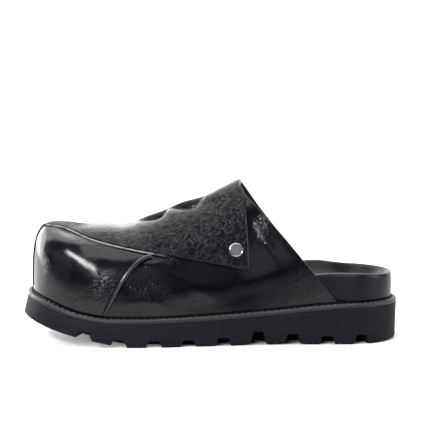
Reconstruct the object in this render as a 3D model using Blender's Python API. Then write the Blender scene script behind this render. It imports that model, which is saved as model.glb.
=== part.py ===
"""Closed-toe clog sandal for the left foot, standing on its sole.

Sizes are in millimetres and become metres where a mesh is made. The toe points along -X,
the outer side of the foot is at -Y, and the floor is at Z = 0.
"""

import math
from collections import namedtuple

import bmesh
import bpy
import numpy as np
from mathutils import Vector

MM = 0.001

# Sole: driving sizes
SOLE_FRONT_X = -150.6
SOLE_BACK_X = 150.0
TOE_FLARE = 3.1
HEEL_TAPER = 0.8
SOLE_EDGE_ROUND = 1.0
TOE_SPRING = 21.0
TOE_ROLL_X = -62.0
TOE_ROLL_POWER = 1.25
ARCH_RISE = 1.6
ARCH_X = 48.0
ARCH_LENGTH = 24.0
HEEL_ROLL_X = 132.0
HEEL_ROLL_RISE = 1.2

# Grooves across the tread, evenly spaced from the toe
GROOVE_FIRST_X = -98.8
GROOVE_PITCH = 27.35
GROOVE_DEPTHS = (6.0, 5.0, 5.0, 5.0, 6.0, 9.0, 7.0, 6.5, 7.0)
GROOVE_MOUTH = 12.6
GROOVE_ROOT = 7.5
GROOVE_REACH = 16.0
GROOVE_END_SLOPE = 1.5

# Outline of the sole's top edge, seen from above
TIP_X = SOLE_FRONT_X + TOE_FLARE
TIP_Y = 9.0
HEEL_X = SOLE_BACK_X
HEEL_ROUND = 44.0
HEEL_POWER = 2.15
TOE_CENTRE_Y = -4.0
Plan = namedtuple("Plan", "x lateral medial")
PLAN = (
    Plan(-100.0, 55.5, 53.5),
    Plan(-70.0, 56.5, 56.5),
    Plan(-40.0, 55.0, 53.0),
    Plan(0.0, 49.5, 44.5),
    Plan(45.0, 43.5, 39.5),
    Plan(85.0, 41.5, 40.0),
    Plan(110.0, 41.5, 40.5),
)
# Each side's toe round, where its throat starts at the sole, and how its throat's edge bows back
Side = namedtuple("Side", "name sign toe_round toe_power back_x throat_bow bow_around")
LATERAL = Side("lateral", -1, 58.0, 2.1, 100.0, -4.0, (0.3, 0.7, 1.0))
MEDIAL = Side("medial", 1, 44.0, 2.5, 86.0, 2.4, (0.02, 0.28, 0.56))
BOW_SHARE = 0.6

# Height of the sole's seat, where the welt lies, along the shoe
Seat = namedtuple("Seat", "x height")
SEAT = (
    Seat(-150.0, 35.1),
    Seat(-133.0, 31.6),
    Seat(-118.0, 26.8),
    Seat(-103.0, 22.8),
    Seat(-85.0, 19.8),
    Seat(-60.0, 19.0),
    Seat(-20.0, 19.8),
    Seat(45.0, 23.4),
    Seat(103.0, 28.6),
    Seat(150.0, 29.8),
)

# Welt: a strip sewn round the edge, as inset from the outline and height above the seat
GAP = 0.3
WELT_TOP = 4.9
WELT_INNER = 13.0
WeltPoint = namedtuple("WeltPoint", "inset height")
WELT_PROFILE = (
    WeltPoint(WELT_INNER, GAP),
    WeltPoint(0.2, GAP),
    WeltPoint(0.1, 2.2),
    WeltPoint(1.5, 3.5),
    WeltPoint(2.6, 3.4),
    WeltPoint(4.2, 2.4),
    WeltPoint(6.2, WELT_TOP),
    WeltPoint(WELT_INNER, WELT_TOP),
)

# Footbed: its wall's inset from the outline, its rim and cup, in heights above the seat
FOOTBED_WALL_UNDER_UPPER = 9.9
FOOTBED_WALL_AT_HEEL = 4.4
FOOTBED_FLARE_X = (97.0, 124.0)
FOOTBED_PLUG = WELT_INNER + GAP
RIM_BLEND_Y = 20.0
Footbed = namedtuple("Footbed", "x lateral_rim medial_rim cup")
FOOTBED = (
    Footbed(-150.0, 12.5, 12.5, 2.5),
    Footbed(-60.0, 15.0, 15.0, 3.5),
    Footbed(0.0, 20.0, 22.0, 5.5),
    Footbed(55.0, 27.0, 31.0, 11.5),
    Footbed(85.0, 27.4, 31.0, 12.5),
    Footbed(110.0, 27.0, 26.5, 12.5),
    Footbed(150.0, 23.9, 23.9, 12.0),
)
RimPoint = namedtuple("RimPoint", "inset drop cup_share")
FOOTBED_RIM = (
    RimPoint(0.0, 2.5, 0.0),
    RimPoint(0.8, 0.7, 0.0),
    RimPoint(2.8, 0.0, 0.0),
    RimPoint(5.0, 0.7, 0.0),
    RimPoint(8.0, 1.5, 0.35),
    RimPoint(13.0, 0.8, 0.8),
    RimPoint(20.0, 0.0, 1.0),
)

# Upper: a last worked out from the feather edge, the ridge of the instep and its sections
UPPER_INSET = 6.1
UPPER_WALL = 1.8
FEATHER_HEIGHT = WELT_TOP + GAP
RIDGE_FRONT_X = -120.0
RIDGE_BACK_X = 24.0
RIDGE_Y = 2.0
Ridge = namedtuple("Ridge", "x height")
RIDGE = (
    Ridge(-120.0, 92.4),
    Ridge(-112.0, 91.9),
    Ridge(-98.0, 89.6),
    Ridge(-80.0, 89.3),
    Ridge(-70.0, 88.6),
    Ridge(-62.0, 90.0),
    Ridge(-52.0, 94.5),
    Ridge(-36.0, 100.4),
    Ridge(-22.0, 106.7),
    Ridge(-6.0, 111.2),
    Ridge(8.0, 118.1),
    Ridge(24.0, 126.2),
)
# Share of the way from toe to throat, squareness of the section, and how straight its side leans
Section = namedtuple("Section", "share power lean")
SECTIONS = (
    Section(0.0, 3.5, 0.0),
    Section(0.25, 3.2, 0.2),
    Section(0.5, 2.6, 1.0),
    Section(1.0, 2.3, 1.0),
)
# The ridge sways from the toe's centre line to its own line within this share of its length
RIDGE_SWAY = 0.3
# Two soft dents beside the ridge, where the vamp buckles
Dent = namedtuple("Dent", "x y length width depth")
DENTS = (
    Dent(-47.0, -9.0, 14.0, 9.0, 4.0),
    Dent(-15.0, -10.0, 18.0, 10.0, 5.5),
)

# Panel lines on the lateral side, in side view
Line = namedtuple("Line", "x height")
APRON_SEAM = (
    Line(-129.0, 90.0),
    Line(-121.0, 89.6),
    Line(-111.0, 87.2),
    Line(-93.0, 81.6),
    Line(-71.0, 76.4),
    Line(-36.0, 70.4),
    Line(-8.0, 64.6),
    Line(28.0, 57.4),
)
Rise = namedtuple("Rise", "height x")
TOE_PANEL_EDGE = (
    Rise(26.0, -84.5),
    Rise(43.8, -75.7),
    Rise(56.8, -67.4),
    Rise(67.0, -57.6),
    Rise(72.5, -46.0),
)
LAPEL_EDGE = (
    Rise(56.0, 29.5),
    Rise(90.0, 28.7),
    Rise(112.0, 27.0),
    Rise(126.2, 24.0),
)
TACK_X = -36.0
TACK_LINE = (Rise(0.0, TACK_X), Rise(130.0, TACK_X))

# Overlays and trims that lie on the upper
OVERLAY_GAP = 0.5
TOE_PANEL_WALL = 1.2
VAMP_WALL = 1.4
SEAM_HALF_WIDTH = 1.8
APRON_CORD_RADIUS = 0.65
ROLLED_EDGE_RADIUS = 1.5
ROLLED_EDGE_HEIGHTS = (28.5, 70.5)
# The cord starts this far up the toe's front and turns the corner at this share
CORD_START = 0.03
CORD_TURN = 0.012
# The vamp's medial edge leaves the front seam over this much of the section
MEDIAL_EDGE_BLEND = 0.08
LAPEL_LIFT = 2.6
SNAP_X = 20.2
SNAP_HEIGHT = 73.8
SnapPoint = namedtuple("SnapPoint", "radius height")
SNAP_PROFILE = (
    SnapPoint(5.2, 0.0),
    SnapPoint(5.8, 0.5),
    SnapPoint(5.8, 1.2),
    SnapPoint(5.2, 1.8),
    SnapPoint(4.5, 1.9),
    SnapPoint(4.2, 1.6),
)
SNAP_SIDES = 26

# Mesh fineness
OUTLINE_END_STEPS = 60
OUTLINE_SIDE_STEPS = 80
SECTION_STEPS = 15
SHARP_ANGLE = math.radians(35)
WELD = 0.02
EDGE_STEPS = 32
TOE_ARC_STEPS = 7
UPPER_ROWS = 29
UPPER_COLUMNS = 14
VAMP_ROWS = 28
VAMP_LATERAL_COLUMNS = 9
VAMP_MEDIAL_COLUMNS = 9
TOE_PANEL_ROWS = 14
TOE_PANEL_COLUMNS = 12
CORD_STEPS = 32
ROLLED_EDGE_STEPS = 16
SEAM_STEPS = 80
BISECT_STEPS = 36

Finish = namedtuple("Finish", "colour roughness metallic")
FINISHES = {
    "sole_rubber": Finish((0.020, 0.020, 0.022), 0.75, 0.0),
    "welt_rubber": Finish((0.030, 0.030, 0.032), 0.55, 0.0),
    "smooth_leather": Finish((0.012, 0.012, 0.013), 0.30, 0.0),
    "grained_leather": Finish((0.014, 0.014, 0.015), 0.38, 0.0),
    "snap_metal": Finish((0.32, 0.32, 0.33), 0.35, 1.0),
}


def curve(table, column):
    """A function that reads one column of a table along a smooth line through its rows."""
    places = np.array([row[0] for row in table])
    values = np.array([getattr(row, column) for row in table])
    slopes = np.gradient(values, places)

    def read(at):
        at = np.clip(at, places[0], places[-1])
        i = np.clip(np.searchsorted(places, at) - 1, 0, len(places) - 2)
        step = places[i + 1] - places[i]
        t = (at - places[i]) / step
        from_left = (1 + 2 * t) * values[i] + t * step * slopes[i]
        from_right = (3 - 2 * t) * values[i + 1] - (1 - t) * step * slopes[i + 1]
        return (1 - t) ** 2 * from_left + t**2 * from_right

    return read


def ease(at, start, end):
    """0 before start, 1 after end, and a soft step between them."""
    t = np.clip((at - start) / (end - start), 0.0, 1.0)
    return t * t * (3 - 2 * t)


def bisect(miss, low, high):
    """The place between low and high where miss changes sign."""
    low_sign = miss(low) > 0
    for _ in range(BISECT_STEPS):
        middle = (low + high) / 2
        if (miss(middle) > 0) == low_sign:
            low = middle
        else:
            high = middle
    return (low + high) / 2


def rounded_end(length, power):
    """A quarter of a squared ellipse: runs back from the tip, and shares of the full width."""
    angle = np.linspace(0, math.pi / 2, OUTLINE_END_STEPS)
    return length * (1 - np.cos(angle) ** (2 / power)), np.sin(angle) ** (2 / power)


def half_outline(side):
    """One side of the sole's top edge from above, from the toe's tip to the heel's tip."""
    toe_run, toe_share = rounded_end(side.toe_round, side.toe_power)
    heel_run, heel_share = rounded_end(HEEL_ROUND, HEEL_POWER)
    toe_x = TIP_X + toe_run
    heel_x = (HEEL_X - heel_run)[::-1]
    side_x = np.linspace(toe_x[-1], heel_x[0], OUTLINE_SIDE_STEPS)[1:-1]
    x = np.concatenate([toe_x, side_x, heel_x])
    y = side.sign * curve(PLAN, side.name)(x)
    toe = slice(0, len(toe_x))
    heel = slice(len(x) - len(heel_x), len(x))
    y[toe] = TIP_Y + (y[toe] - TIP_Y) * toe_share
    y[heel] = y[heel] * heel_share[::-1]
    return np.column_stack([x, y])


class Edge:
    """The sole's top edge as a closed line, measured by its run from the toe's tip."""

    def __init__(self):
        lateral, medial = half_outline(LATERAL), half_outline(MEDIAL)
        self.points = np.vstack([lateral, medial[-2:0:-1]])
        ahead = np.roll(self.points, -1, axis=0)
        lengths = np.linalg.norm(ahead - self.points, axis=1)
        self.total = lengths.sum()
        self.runs = np.concatenate([[0.0], np.cumsum(lengths)[:-1]])
        along = ahead - np.roll(self.points, 1, axis=0)
        along /= np.linalg.norm(along, axis=1)[:, None]
        self.outward = np.column_stack([along[:, 1], -along[:, 0]])
        self.heel_run = self.runs[len(lateral) - 1]
        heel = len(lateral)
        self.side_x = {
            LATERAL: (lateral[:, 0], self.runs[:heel]),
            MEDIAL: (medial[:, 0], np.append(self.runs[heel - 1:], self.total)[::-1] - self.total),
        }
        front_y = lateral[:OUTLINE_END_STEPS, 1]
        self.start_run = float(np.interp(-TOE_CENTRE_Y, -front_y, self.runs[:OUTLINE_END_STEPS]))

    def at(self, run, inset=0.0):
        """(x, y) at a run along the edge, moved in by the inset."""
        x, y, out_x, out_y = (
            np.interp(run, self.runs, values, period=self.total)
            for values in (*self.points.T, *self.outward.T)
        )
        return x - inset * out_x, y - inset * out_y

    def run_at_x(self, side, x):
        return np.interp(x, *self.side_x[side])

    def half_runs(self, side, shares):
        """Runs at shares of the way from the toe's centre to the heel's tip, on one side."""
        end = self.heel_run if side is LATERAL else self.heel_run - self.total
        return self.start_run + shares * (end - self.start_run)


EDGE = Edge()
seat_height = curve(SEAT, "height")
ridge_height = curve(RIDGE, "height")
section_power = curve(SECTIONS, "power")
section_lean = curve(SECTIONS, "lean")
lateral_rim = curve(FOOTBED, "lateral_rim")
medial_rim = curve(FOOTBED, "medial_rim")
footbed_cup = curve(FOOTBED, "cup")
apron_height = curve(APRON_SEAM, "height")


def tread_height(x):
    """Height of the tread above the floor, before the grooves."""
    rolled = np.clip((TOE_ROLL_X - x) / (TOE_ROLL_X - SOLE_FRONT_X), 0, None)
    toe = TOE_SPRING * rolled**TOE_ROLL_POWER
    arch = ARCH_RISE * np.exp(-(((x - ARCH_X) / ARCH_LENGTH) ** 4))
    heel = HEEL_ROLL_RISE * ease(x, HEEL_ROLL_X, SOLE_BACK_X)
    return toe + arch + heel


def groove_stations():
    """x of each groove's four corners, with the depth of the groove there."""
    stations = []
    for i, depth in enumerate(GROOVE_DEPTHS):
        middle = GROOVE_FIRST_X + i * GROOVE_PITCH
        stations += [(middle - GROOVE_MOUTH / 2, 0.0), (middle - GROOVE_ROOT / 2, depth)]
        stations += [(middle + GROOVE_ROOT / 2, depth), (middle + GROOVE_MOUTH / 2, 0.0)]
    return stations


def closed_mesh(name, rings, caps):
    """A solid whose skin joins each ring of points to the next one.

    With caps, the first and last rings are filled by rungs from one side to the other;
    without, the last ring joins the first.
    """
    mesh = bmesh.new()
    loops = [[mesh.verts.new(Vector(p) * MM) for p in ring] for ring in rings]
    count = len(loops[0])
    pairs = list(zip(loops, loops[1:]))
    if not caps:
        pairs.append((loops[-1], loops[0]))
    for lower, upper in pairs:
        for i in range(count):
            j = (i + 1) % count
            mesh.faces.new((lower[i], lower[j], upper[j], upper[i]))
    if caps:
        for loop, flip in ((loops[0], True), (loops[-1], False)):
            for i in range(count // 2):
                rung = [loop[i], loop[i + 1], loop[-i - 1], loop[-i % count]]
                corners = list(dict.fromkeys(rung))
                mesh.faces.new(corners[::-1] if flip else corners)
    return finished(name, mesh)


def finished(name, mesh):
    """Turns a bmesh into an object whose faces point out."""
    bmesh.ops.recalc_face_normals(mesh, faces=mesh.faces)
    data = bpy.data.meshes.new(name)
    mesh.to_mesh(data)
    mesh.free()
    data.shade_smooth()
    data.set_sharp_from_angle(angle=SHARP_ANGLE)
    thing = bpy.data.objects.new(name, data)
    bpy.context.scene.collection.objects.link(thing)
    return thing


def ring(runs, inset, height):
    """Points round the edge; inset and height are values, or functions of each point's x."""
    station_x = EDGE.at(runs)[0]
    inset = inset(station_x) if callable(inset) else inset
    x, y = EDGE.at(runs, inset)
    z = height(station_x) if callable(height) else height
    return np.column_stack([x, y, np.broadcast_to(z, x.shape)])


def round_runs():
    """Runs all the way round, with the toe's centre first and as many steps on each side."""
    shares = np.linspace(0, 1, EDGE_STEPS + 1)
    lateral = EDGE.half_runs(LATERAL, shares)
    medial = EDGE.half_runs(MEDIAL, shares[1:-1])
    return np.concatenate([lateral, medial[::-1] + EDGE.total])


def make_outsole():
    """The moulded sole: its side flares to the toe, and grooves cut in from both sides."""
    groove_x, groove_depth = zip(*groove_stations())
    runs = []
    for side in (LATERAL, MEDIAL):
        at_x = EDGE.run_at_x(side, np.array(groove_x))
        heel = EDGE.half_runs(side, 1.0)
        toe_arc = np.linspace(EDGE.start_run, at_x[0], TOE_ARC_STEPS, endpoint=False)
        heel_arc = np.linspace(at_x[-1], heel, TOE_ARC_STEPS)[1:]
        runs.append(np.concatenate([toe_arc, at_x, heel_arc]))
    runs = np.concatenate([runs[0], runs[1][-2:0:-1] + EDGE.total])

    def tread(x):
        return tread_height(x) + np.interp(x, groove_x, groove_depth)

    def flare(x):
        return -TOE_FLARE + (TOE_FLARE + HEEL_TAPER) * ease(x, TIP_X, 0.0)

    rings = [
        ring(runs, GROOVE_REACH + GROOVE_END_SLOPE, tread_height),
        ring(runs, GROOVE_REACH, tread),
        ring(runs, lambda x: flare(x) + SOLE_EDGE_ROUND, tread),
        ring(runs, flare, lambda x: tread(x) + SOLE_EDGE_ROUND),
        ring(runs, 0.0, lambda x: seat_height(x) - SOLE_EDGE_ROUND / 2),
        ring(runs, SOLE_EDGE_ROUND / 2, seat_height),
    ]
    return closed_mesh("outsole", rings, caps=True)


def make_welt():
    """The strip sewn round the sole, with a bevelled lip and a ledge for its stitches."""
    runs = round_runs()
    rings = []
    for point in WELT_PROFILE:
        rings.append(ring(runs, point.inset, lambda x: seat_height(x) + point.height))
    return closed_mesh("welt", rings, caps=False)


def make_footbed():
    """The wrapped footbed: a wall with a round rim, and a cup for the heel."""
    runs = round_runs()

    def wall(x):
        flare = FOOTBED_WALL_AT_HEEL - FOOTBED_WALL_UNDER_UPPER
        return FOOTBED_WALL_UNDER_UPPER + flare * ease(x, *FOOTBED_FLARE_X)

    rings = [
        ring(runs, FOOTBED_PLUG, lambda x: seat_height(x) + GAP),
        ring(runs, FOOTBED_PLUG, lambda x: seat_height(x) + FEATHER_HEIGHT),
        ring(runs, wall, lambda x: seat_height(x) + FEATHER_HEIGHT),
    ]
    x, y = EDGE.at(runs)
    inner_side = ease(y, -RIM_BLEND_Y, RIM_BLEND_Y)
    rim = seat_height(x) + lateral_rim(x) + inner_side * (medial_rim(x) - lateral_rim(x))
    for point in FOOTBED_RIM:
        height = rim - point.drop - point.cup_share * footbed_cup(x)
        rings.append(ring(runs, wall(x) + point.inset, height))
    return closed_mesh("footbed", rings, caps=True)


def last(side, share, around):
    """A point on the upper's outer face.

    share runs from the toe's centre line to the throat; around runs from the feather edge
    at 0 to the ridge at 1.
    """
    front, back = EDGE.start_run, EDGE.run_at_x(side, side.back_x)
    run = front + share * (back - front)
    foot_x, foot_y = EDGE.at(run, UPPER_INSET)
    foot_z = seat_height(EDGE.at(run)[0]) + FEATHER_HEIGHT
    ridge_x = RIDGE_FRONT_X + share * (RIDGE_BACK_X - RIDGE_FRONT_X)
    ridge_y = RIDGE_Y + (TOE_CENTRE_Y - RIDGE_Y) * (1 - ease(share, 0.0, RIDGE_SWAY))
    ridge_z = ridge_height(ridge_x)
    power = section_power(share)
    lean = section_lean(share)
    angle = around * math.pi / 2
    reach = (np.cos(angle) ** power + np.sin(angle) ** power) ** (-1 / power)
    out, up = reach * np.cos(angle), reach * np.sin(angle)
    x = ridge_x + (foot_x - ridge_x) * ((1 - lean) * out + lean * (1 - up))
    y = ridge_y + (foot_y - ridge_y) * out
    z = foot_z + (ridge_z - foot_z) * up
    start, middle, end = side.bow_around
    bow = ease(around, start, middle) - ease(around, middle, end)
    x = x + side.throat_bow * bow * ease(share, BOW_SHARE, 1.0)
    for dent in DENTS:
        near = ((x - dent.x) / dent.length) ** 2 + ((y - dent.y) / dent.width) ** 2
        z = z - dent.depth * np.exp(-near)
    return np.array([x, y, z], float)


def last_normal(side, share, around, step=0.004):
    """The way out of the upper's face at a point on it."""
    before, after = max(share - step, 0.0), min(share + step, 1.0)
    lower, upper = max(around - step, 0.0), min(around + step, 1.0)
    along = last(side, after, around) - last(side, before, around)
    across = last(side, share, upper) - last(side, share, lower)
    normal = np.cross(along, across) * -side.sign
    return normal / np.linalg.norm(normal)


def section_length(share):
    """Length of the lateral section from feather edge to ridge."""
    line = np.array([last(LATERAL, share, a) for a in np.linspace(0, 1, SECTION_STEPS + 1)])
    return np.linalg.norm(np.diff(line, axis=0), axis=1).sum()


def apron_crossing(share):
    """How far up the lateral section the apron's seam passes."""

    def above(around):
        x, _, z = last(LATERAL, share, around)
        return z - apron_height(x)

    return bisect(above, 0.0, 1.0)


SEAM_SHARES = np.linspace(0, 1, SEAM_STEPS + 1)
SEAM_AROUNDS = [apron_crossing(share) for share in SEAM_SHARES]
SEAM_HALVES = [SEAM_HALF_WIDTH / section_length(share) for share in SEAM_SHARES]


def seam_around(share):
    return np.interp(share, SEAM_SHARES, SEAM_AROUNDS)


def half_seam_around(share):
    """Half the width of the seam's channel, as a share of the section."""
    return np.interp(share, SEAM_SHARES, SEAM_HALVES)


def half_seam_share(side):
    return SEAM_HALF_WIDTH / abs(EDGE.run_at_x(side, side.back_x) - EDGE.start_run)


def share_on(line, around):
    """Share of the way back where a lateral line crosses; around depends on the share."""
    line_x = curve(line, "x")

    def behind(share):
        x, _, z = last(LATERAL, share, around(share))
        return x - line_x(z)

    return bisect(behind, 0.0, 1.0)


def place(x, height):
    """Share and around of the lateral point at an x and a height."""

    def around(share):
        return bisect(lambda a: last(LATERAL, share, a)[2] - height, 0.0, 1.0)

    share = share_on((Rise(0.0, x), Rise(height, x)), around)
    return share, around(share)


def sheet_mesh(name, rows, offset, wall, outward):
    """A sheet of rows of points, moved out by an offset and thickened to a wall.

    Rows that fold onto themselves at the toe are welded there.
    """
    mesh = bmesh.new()
    grid = [[mesh.verts.new(Vector(p) * MM) for p in row] for row in rows]
    for row, after in zip(grid, grid[1:]):
        for i in range(len(row) - 1):
            mesh.faces.new((row[i], after[i], after[i + 1], row[i + 1]))
    bmesh.ops.remove_doubles(mesh, verts=mesh.verts, dist=WELD * MM)
    mesh.normal_update()
    moves = [(v, v.normal * offset * MM) for v in mesh.verts]
    for vert, move in moves:
        vert.co += move
    data = bpy.data.meshes.new(name)
    mesh.to_mesh(data)
    mesh.free()
    data.shade_smooth()
    thing = bpy.data.objects.new(name, data)
    bpy.context.scene.collection.objects.link(thing)
    solidify = thing.modifiers.new("wall", "SOLIDIFY")
    solidify.thickness = wall * MM
    solidify.offset = 1.0 if outward else -1.0
    solidify.use_even_offset = True
    return thing


def make_upper():
    """The hollow upper: lateral quarter and lining in one wall, open at the back and below."""
    arounds = np.linspace(0, 1, UPPER_COLUMNS + 1)
    rows = []
    for share in np.linspace(0, 1, UPPER_ROWS + 1):
        lateral = [last(LATERAL, share, a) for a in arounds]
        medial = [last(MEDIAL, share, a) for a in arounds[-2::-1]]
        rows.append(lateral + medial)
    return sheet_mesh("upper", rows, 0.0, UPPER_WALL, outward=False)


def lapel_low(share):
    """How far up the lateral section the vamp and its lapel end."""
    return seam_around(share) + half_seam_around(share)


def lapel_lift(share, around):
    """How far the lapel stands off the quarter: most at the free corner, none at the ridge."""
    low = lapel_low(share)
    free = ease(last(LATERAL, share, around)[0], TACK_X, RIDGE_BACK_X)
    return LAPEL_LIFT * free * (1 - around) / (1 - low)


def make_vamp():
    """The vamp: from the medial feather edge over the ridge to the apron seam and the lapel."""
    top_share = half_seam_share(MEDIAL)
    seam_start = lapel_low(0.0)
    lateral_steps = np.linspace(0, 1, VAMP_LATERAL_COLUMNS + 1)
    medial_arounds = np.concatenate([
        1 - (1 - seam_start) * lateral_steps[1:],
        np.linspace(seam_start, 0, VAMP_MEDIAL_COLUMNS + 1)[1:],
    ])

    def lateral_around(share, step):
        low = lapel_low(share)
        return low + (1 - low) * step

    ends = [share_on(LAPEL_EDGE, lambda s, t=t: lateral_around(s, t)) for t in lateral_steps]
    rows = []
    for row in np.linspace(0, 1, VAMP_ROWS + 1):
        points = []
        for step, end in zip(lateral_steps, ends):
            share = row * end
            around = lateral_around(share, step)
            lift = lapel_lift(share, around) * last_normal(LATERAL, share, around)
            points.append(last(LATERAL, share, around) + lift)
        for around in medial_arounds:
            first = top_share * ease(seam_start - around, 0.0, MEDIAL_EDGE_BLEND)
            points.append(last(MEDIAL, first + row * (1 - first), around))
        rows.append(points)
    return sheet_mesh("vamp", rows, OVERLAY_GAP, VAMP_WALL, outward=True)


def toe_panel_around(share, step):
    return step * (seam_around(share) - half_seam_around(share))


def toe_panel_end(step):
    return share_on(TOE_PANEL_EDGE, lambda share: toe_panel_around(share, step))


def make_toe_panel():
    """The lateral toe panel, between the front seam, the apron seam and its rolled edge."""
    first = half_seam_share(LATERAL)
    steps = np.linspace(0, 1, TOE_PANEL_COLUMNS + 1)
    ends = [toe_panel_end(step) for step in steps]
    rows = []
    for row in np.linspace(0, 1, TOE_PANEL_ROWS + 1):
        shares = [first + row * (end - first) for end in ends]
        rows.append([last(LATERAL, s, toe_panel_around(s, t)) for s, t in zip(shares, steps)])
    return sheet_mesh("toe_panel", rows, OVERLAY_GAP, TOE_PANEL_WALL, outward=True)


def cord(name, points, radius):
    """A round cord through points, with closed ends."""
    curve = bpy.data.curves.new(name, "CURVE")
    curve.dimensions = "3D"
    curve.bevel_depth = radius * MM
    curve.bevel_resolution = 1
    curve.use_fill_caps = True
    spline = curve.splines.new("POLY")
    spline.points.add(len(points) - 1)
    for target, point in zip(spline.points, points):
        target.co = (*(Vector(point) * MM), 1.0)
    thing = bpy.data.objects.new(name, curve)
    bpy.context.scene.collection.objects.link(thing)
    return thing


def make_apron_cord():
    """The cord in the apron seam: up the toe's front, then back along the side to the tack."""
    lift = OVERLAY_GAP + APRON_CORD_RADIUS
    top = seam_around(0.0)
    end = share_on(TACK_LINE, seam_around)
    points = []
    for around in np.linspace(CORD_START, top, CORD_STEPS // 2, endpoint=False):
        normal = last_normal(LATERAL, 0.0, around) + last_normal(MEDIAL, 0.0, around)
        points.append(last(LATERAL, 0.0, around) + lift * normal / np.linalg.norm(normal))
    for share in np.linspace(CORD_TURN, end, CORD_STEPS):
        around = seam_around(share)
        points.append(last(LATERAL, share, around) + lift * last_normal(LATERAL, share, around))
    return cord("apron_cord", points, APRON_CORD_RADIUS)


def make_rolled_edge():
    """The rolled edge that ends the toe panel, from the welt up to the apron seam."""
    lift = OVERLAY_GAP + ROLLED_EDGE_RADIUS
    beside = ROLLED_EDGE_RADIUS + 2 * GAP
    line_x = curve(TOE_PANEL_EDGE, "x")
    points = []
    for height in np.linspace(*ROLLED_EDGE_HEIGHTS, ROLLED_EDGE_STEPS):
        slope = line_x(height + 0.5) - line_x(height - 0.5)
        square = beside / math.hypot(1.0, slope)
        share, around = place(line_x(height) + square, height - square * slope)
        points.append(last(LATERAL, share, around) + lift * last_normal(LATERAL, share, around))
    return cord("rolled_edge", points, ROLLED_EDGE_RADIUS)


def make_snap():
    """The metal cap of the snap at the lapel's corner."""
    share, around = place(SNAP_X, SNAP_HEIGHT)
    normal = last_normal(LATERAL, share, around)
    lift = OVERLAY_GAP + VAMP_WALL + lapel_lift(share, around) + 2 * GAP
    mesh = bmesh.new()
    loops = []
    for point in SNAP_PROFILE:
        loop = bmesh.ops.create_circle(mesh, segments=SNAP_SIDES, radius=point.radius * MM)["verts"]
        bmesh.ops.translate(mesh, verts=loop, vec=(0, 0, point.height * MM))
        loops.append(loop)
    for lower, upper in zip(loops, loops[1:]):
        edges = {e for v in [*lower, *upper] for e in v.link_edges}
        rims = [e for e in edges if len(set(e.verts) & set(lower)) != 1]
        bmesh.ops.bridge_loops(mesh, edges=rims)
    mesh.faces.new(loops[0])
    mesh.faces.new(loops[-1])
    thing = finished("snap_cap", mesh)
    thing.location = Vector(last(LATERAL, share, around) + lift * normal) * MM
    thing.rotation_euler = Vector(normal).to_track_quat("Z", "Y").to_euler()
    return thing


def painted(thing, finish_name):
    """Gives an object its own material."""
    finish = FINISHES[finish_name]
    material = bpy.data.materials.new(f"{thing.name}_{finish_name}")
    material.use_nodes = True
    shader = material.node_tree.nodes["Principled BSDF"]
    shader.inputs["Base Color"].default_value = (*finish.colour, 1.0)
    shader.inputs["Roughness"].default_value = finish.roughness
    shader.inputs["Metallic"].default_value = finish.metallic
    thing.data.materials.append(material)


def main():
    for thing in list(bpy.data.objects):
        bpy.data.objects.remove(thing)
    painted(make_outsole(), "sole_rubber")
    painted(make_welt(), "welt_rubber")
    painted(make_footbed(), "smooth_leather")
    painted(make_upper(), "smooth_leather")
    painted(make_toe_panel(), "smooth_leather")
    painted(make_vamp(), "grained_leather")
    painted(make_apron_cord(), "smooth_leather")
    painted(make_rolled_edge(), "smooth_leather")
    painted(make_snap(), "snap_metal")


main()
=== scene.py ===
"""The looks of a closed-toe clog sandal in black leather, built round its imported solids."""
import math
from collections import namedtuple

import bmesh
import bpy
import numpy as np
from mathutils import Matrix, Vector


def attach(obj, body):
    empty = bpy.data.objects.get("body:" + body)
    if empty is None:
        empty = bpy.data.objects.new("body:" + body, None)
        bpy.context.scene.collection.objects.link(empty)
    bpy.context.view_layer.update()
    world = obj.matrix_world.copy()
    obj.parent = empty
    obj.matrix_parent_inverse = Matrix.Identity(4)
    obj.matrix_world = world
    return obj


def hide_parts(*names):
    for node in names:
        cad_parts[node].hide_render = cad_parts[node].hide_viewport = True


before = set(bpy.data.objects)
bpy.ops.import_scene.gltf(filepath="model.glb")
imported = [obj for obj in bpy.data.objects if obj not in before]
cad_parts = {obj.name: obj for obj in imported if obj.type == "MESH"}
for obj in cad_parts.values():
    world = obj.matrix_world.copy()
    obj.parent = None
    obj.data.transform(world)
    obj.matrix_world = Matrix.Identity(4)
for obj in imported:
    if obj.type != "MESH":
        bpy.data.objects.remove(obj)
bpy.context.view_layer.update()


# The studio: pale paper as floor and backdrop, soft lights above, in front and at both ends,
# one long strip for the streak on the toe, and a camera with a long lens a little above the
# shoe's outer side. The floor glows with painted light that lifts its shade, except round the
# shoe's footprint.
EYE = Vector((0.0, -1.5844, 0.2827))
AIM = Vector((0.0103, 0.0044, 0.0914))
LENS_MM = 160.15
SENSOR_MM = 36.0
FLOOR_SIZE = 60.0
FLOOR_FRONT_Y = -0.45
FLOOR_GLOW = 0.4
FOOTPRINT_MIDDLE = (0.037, 0.0, 0.0)
FOOTPRINT_REACH = (0.165, 0.072, 0.1)
FOOTPRINT_FADE = 0.35
BACKDROP_Y = 3.5
BACKDROP_WIDTH = 9.0
BACKDROP_HEIGHT = 3.2
BACKDROP_GLOW = 2.3
PAPER_COLOUR = (0.5, 0.5, 0.5, 1.0)
PAPER_ROUGHNESS = 0.9
PAPER_SPECULAR = 0.1
WHITE = (1.0, 1.0, 1.0, 1.0)
ROOM_LIGHT = 1.4
ROOM_LIGHT_PLACE = (0.0, 0.6, 2.0)
ROOM_LIGHT_SPREAD = 70.0
SkyStep = namedtuple("SkyStep", "rise strength")
SKY_STEPS = (
    SkyStep(-0.02, 0.95),
    SkyStep(0.03, 0.08),
    SkyStep(0.26, 0.08),
    SkyStep(0.33, 0.5),
    SkyStep(0.42, 0.5),
    SkyStep(0.5, 0.1),
    SkyStep(0.9, 0.24),
)
SoftLight = namedtuple("SoftLight", "name place aim width depth watts")
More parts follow.
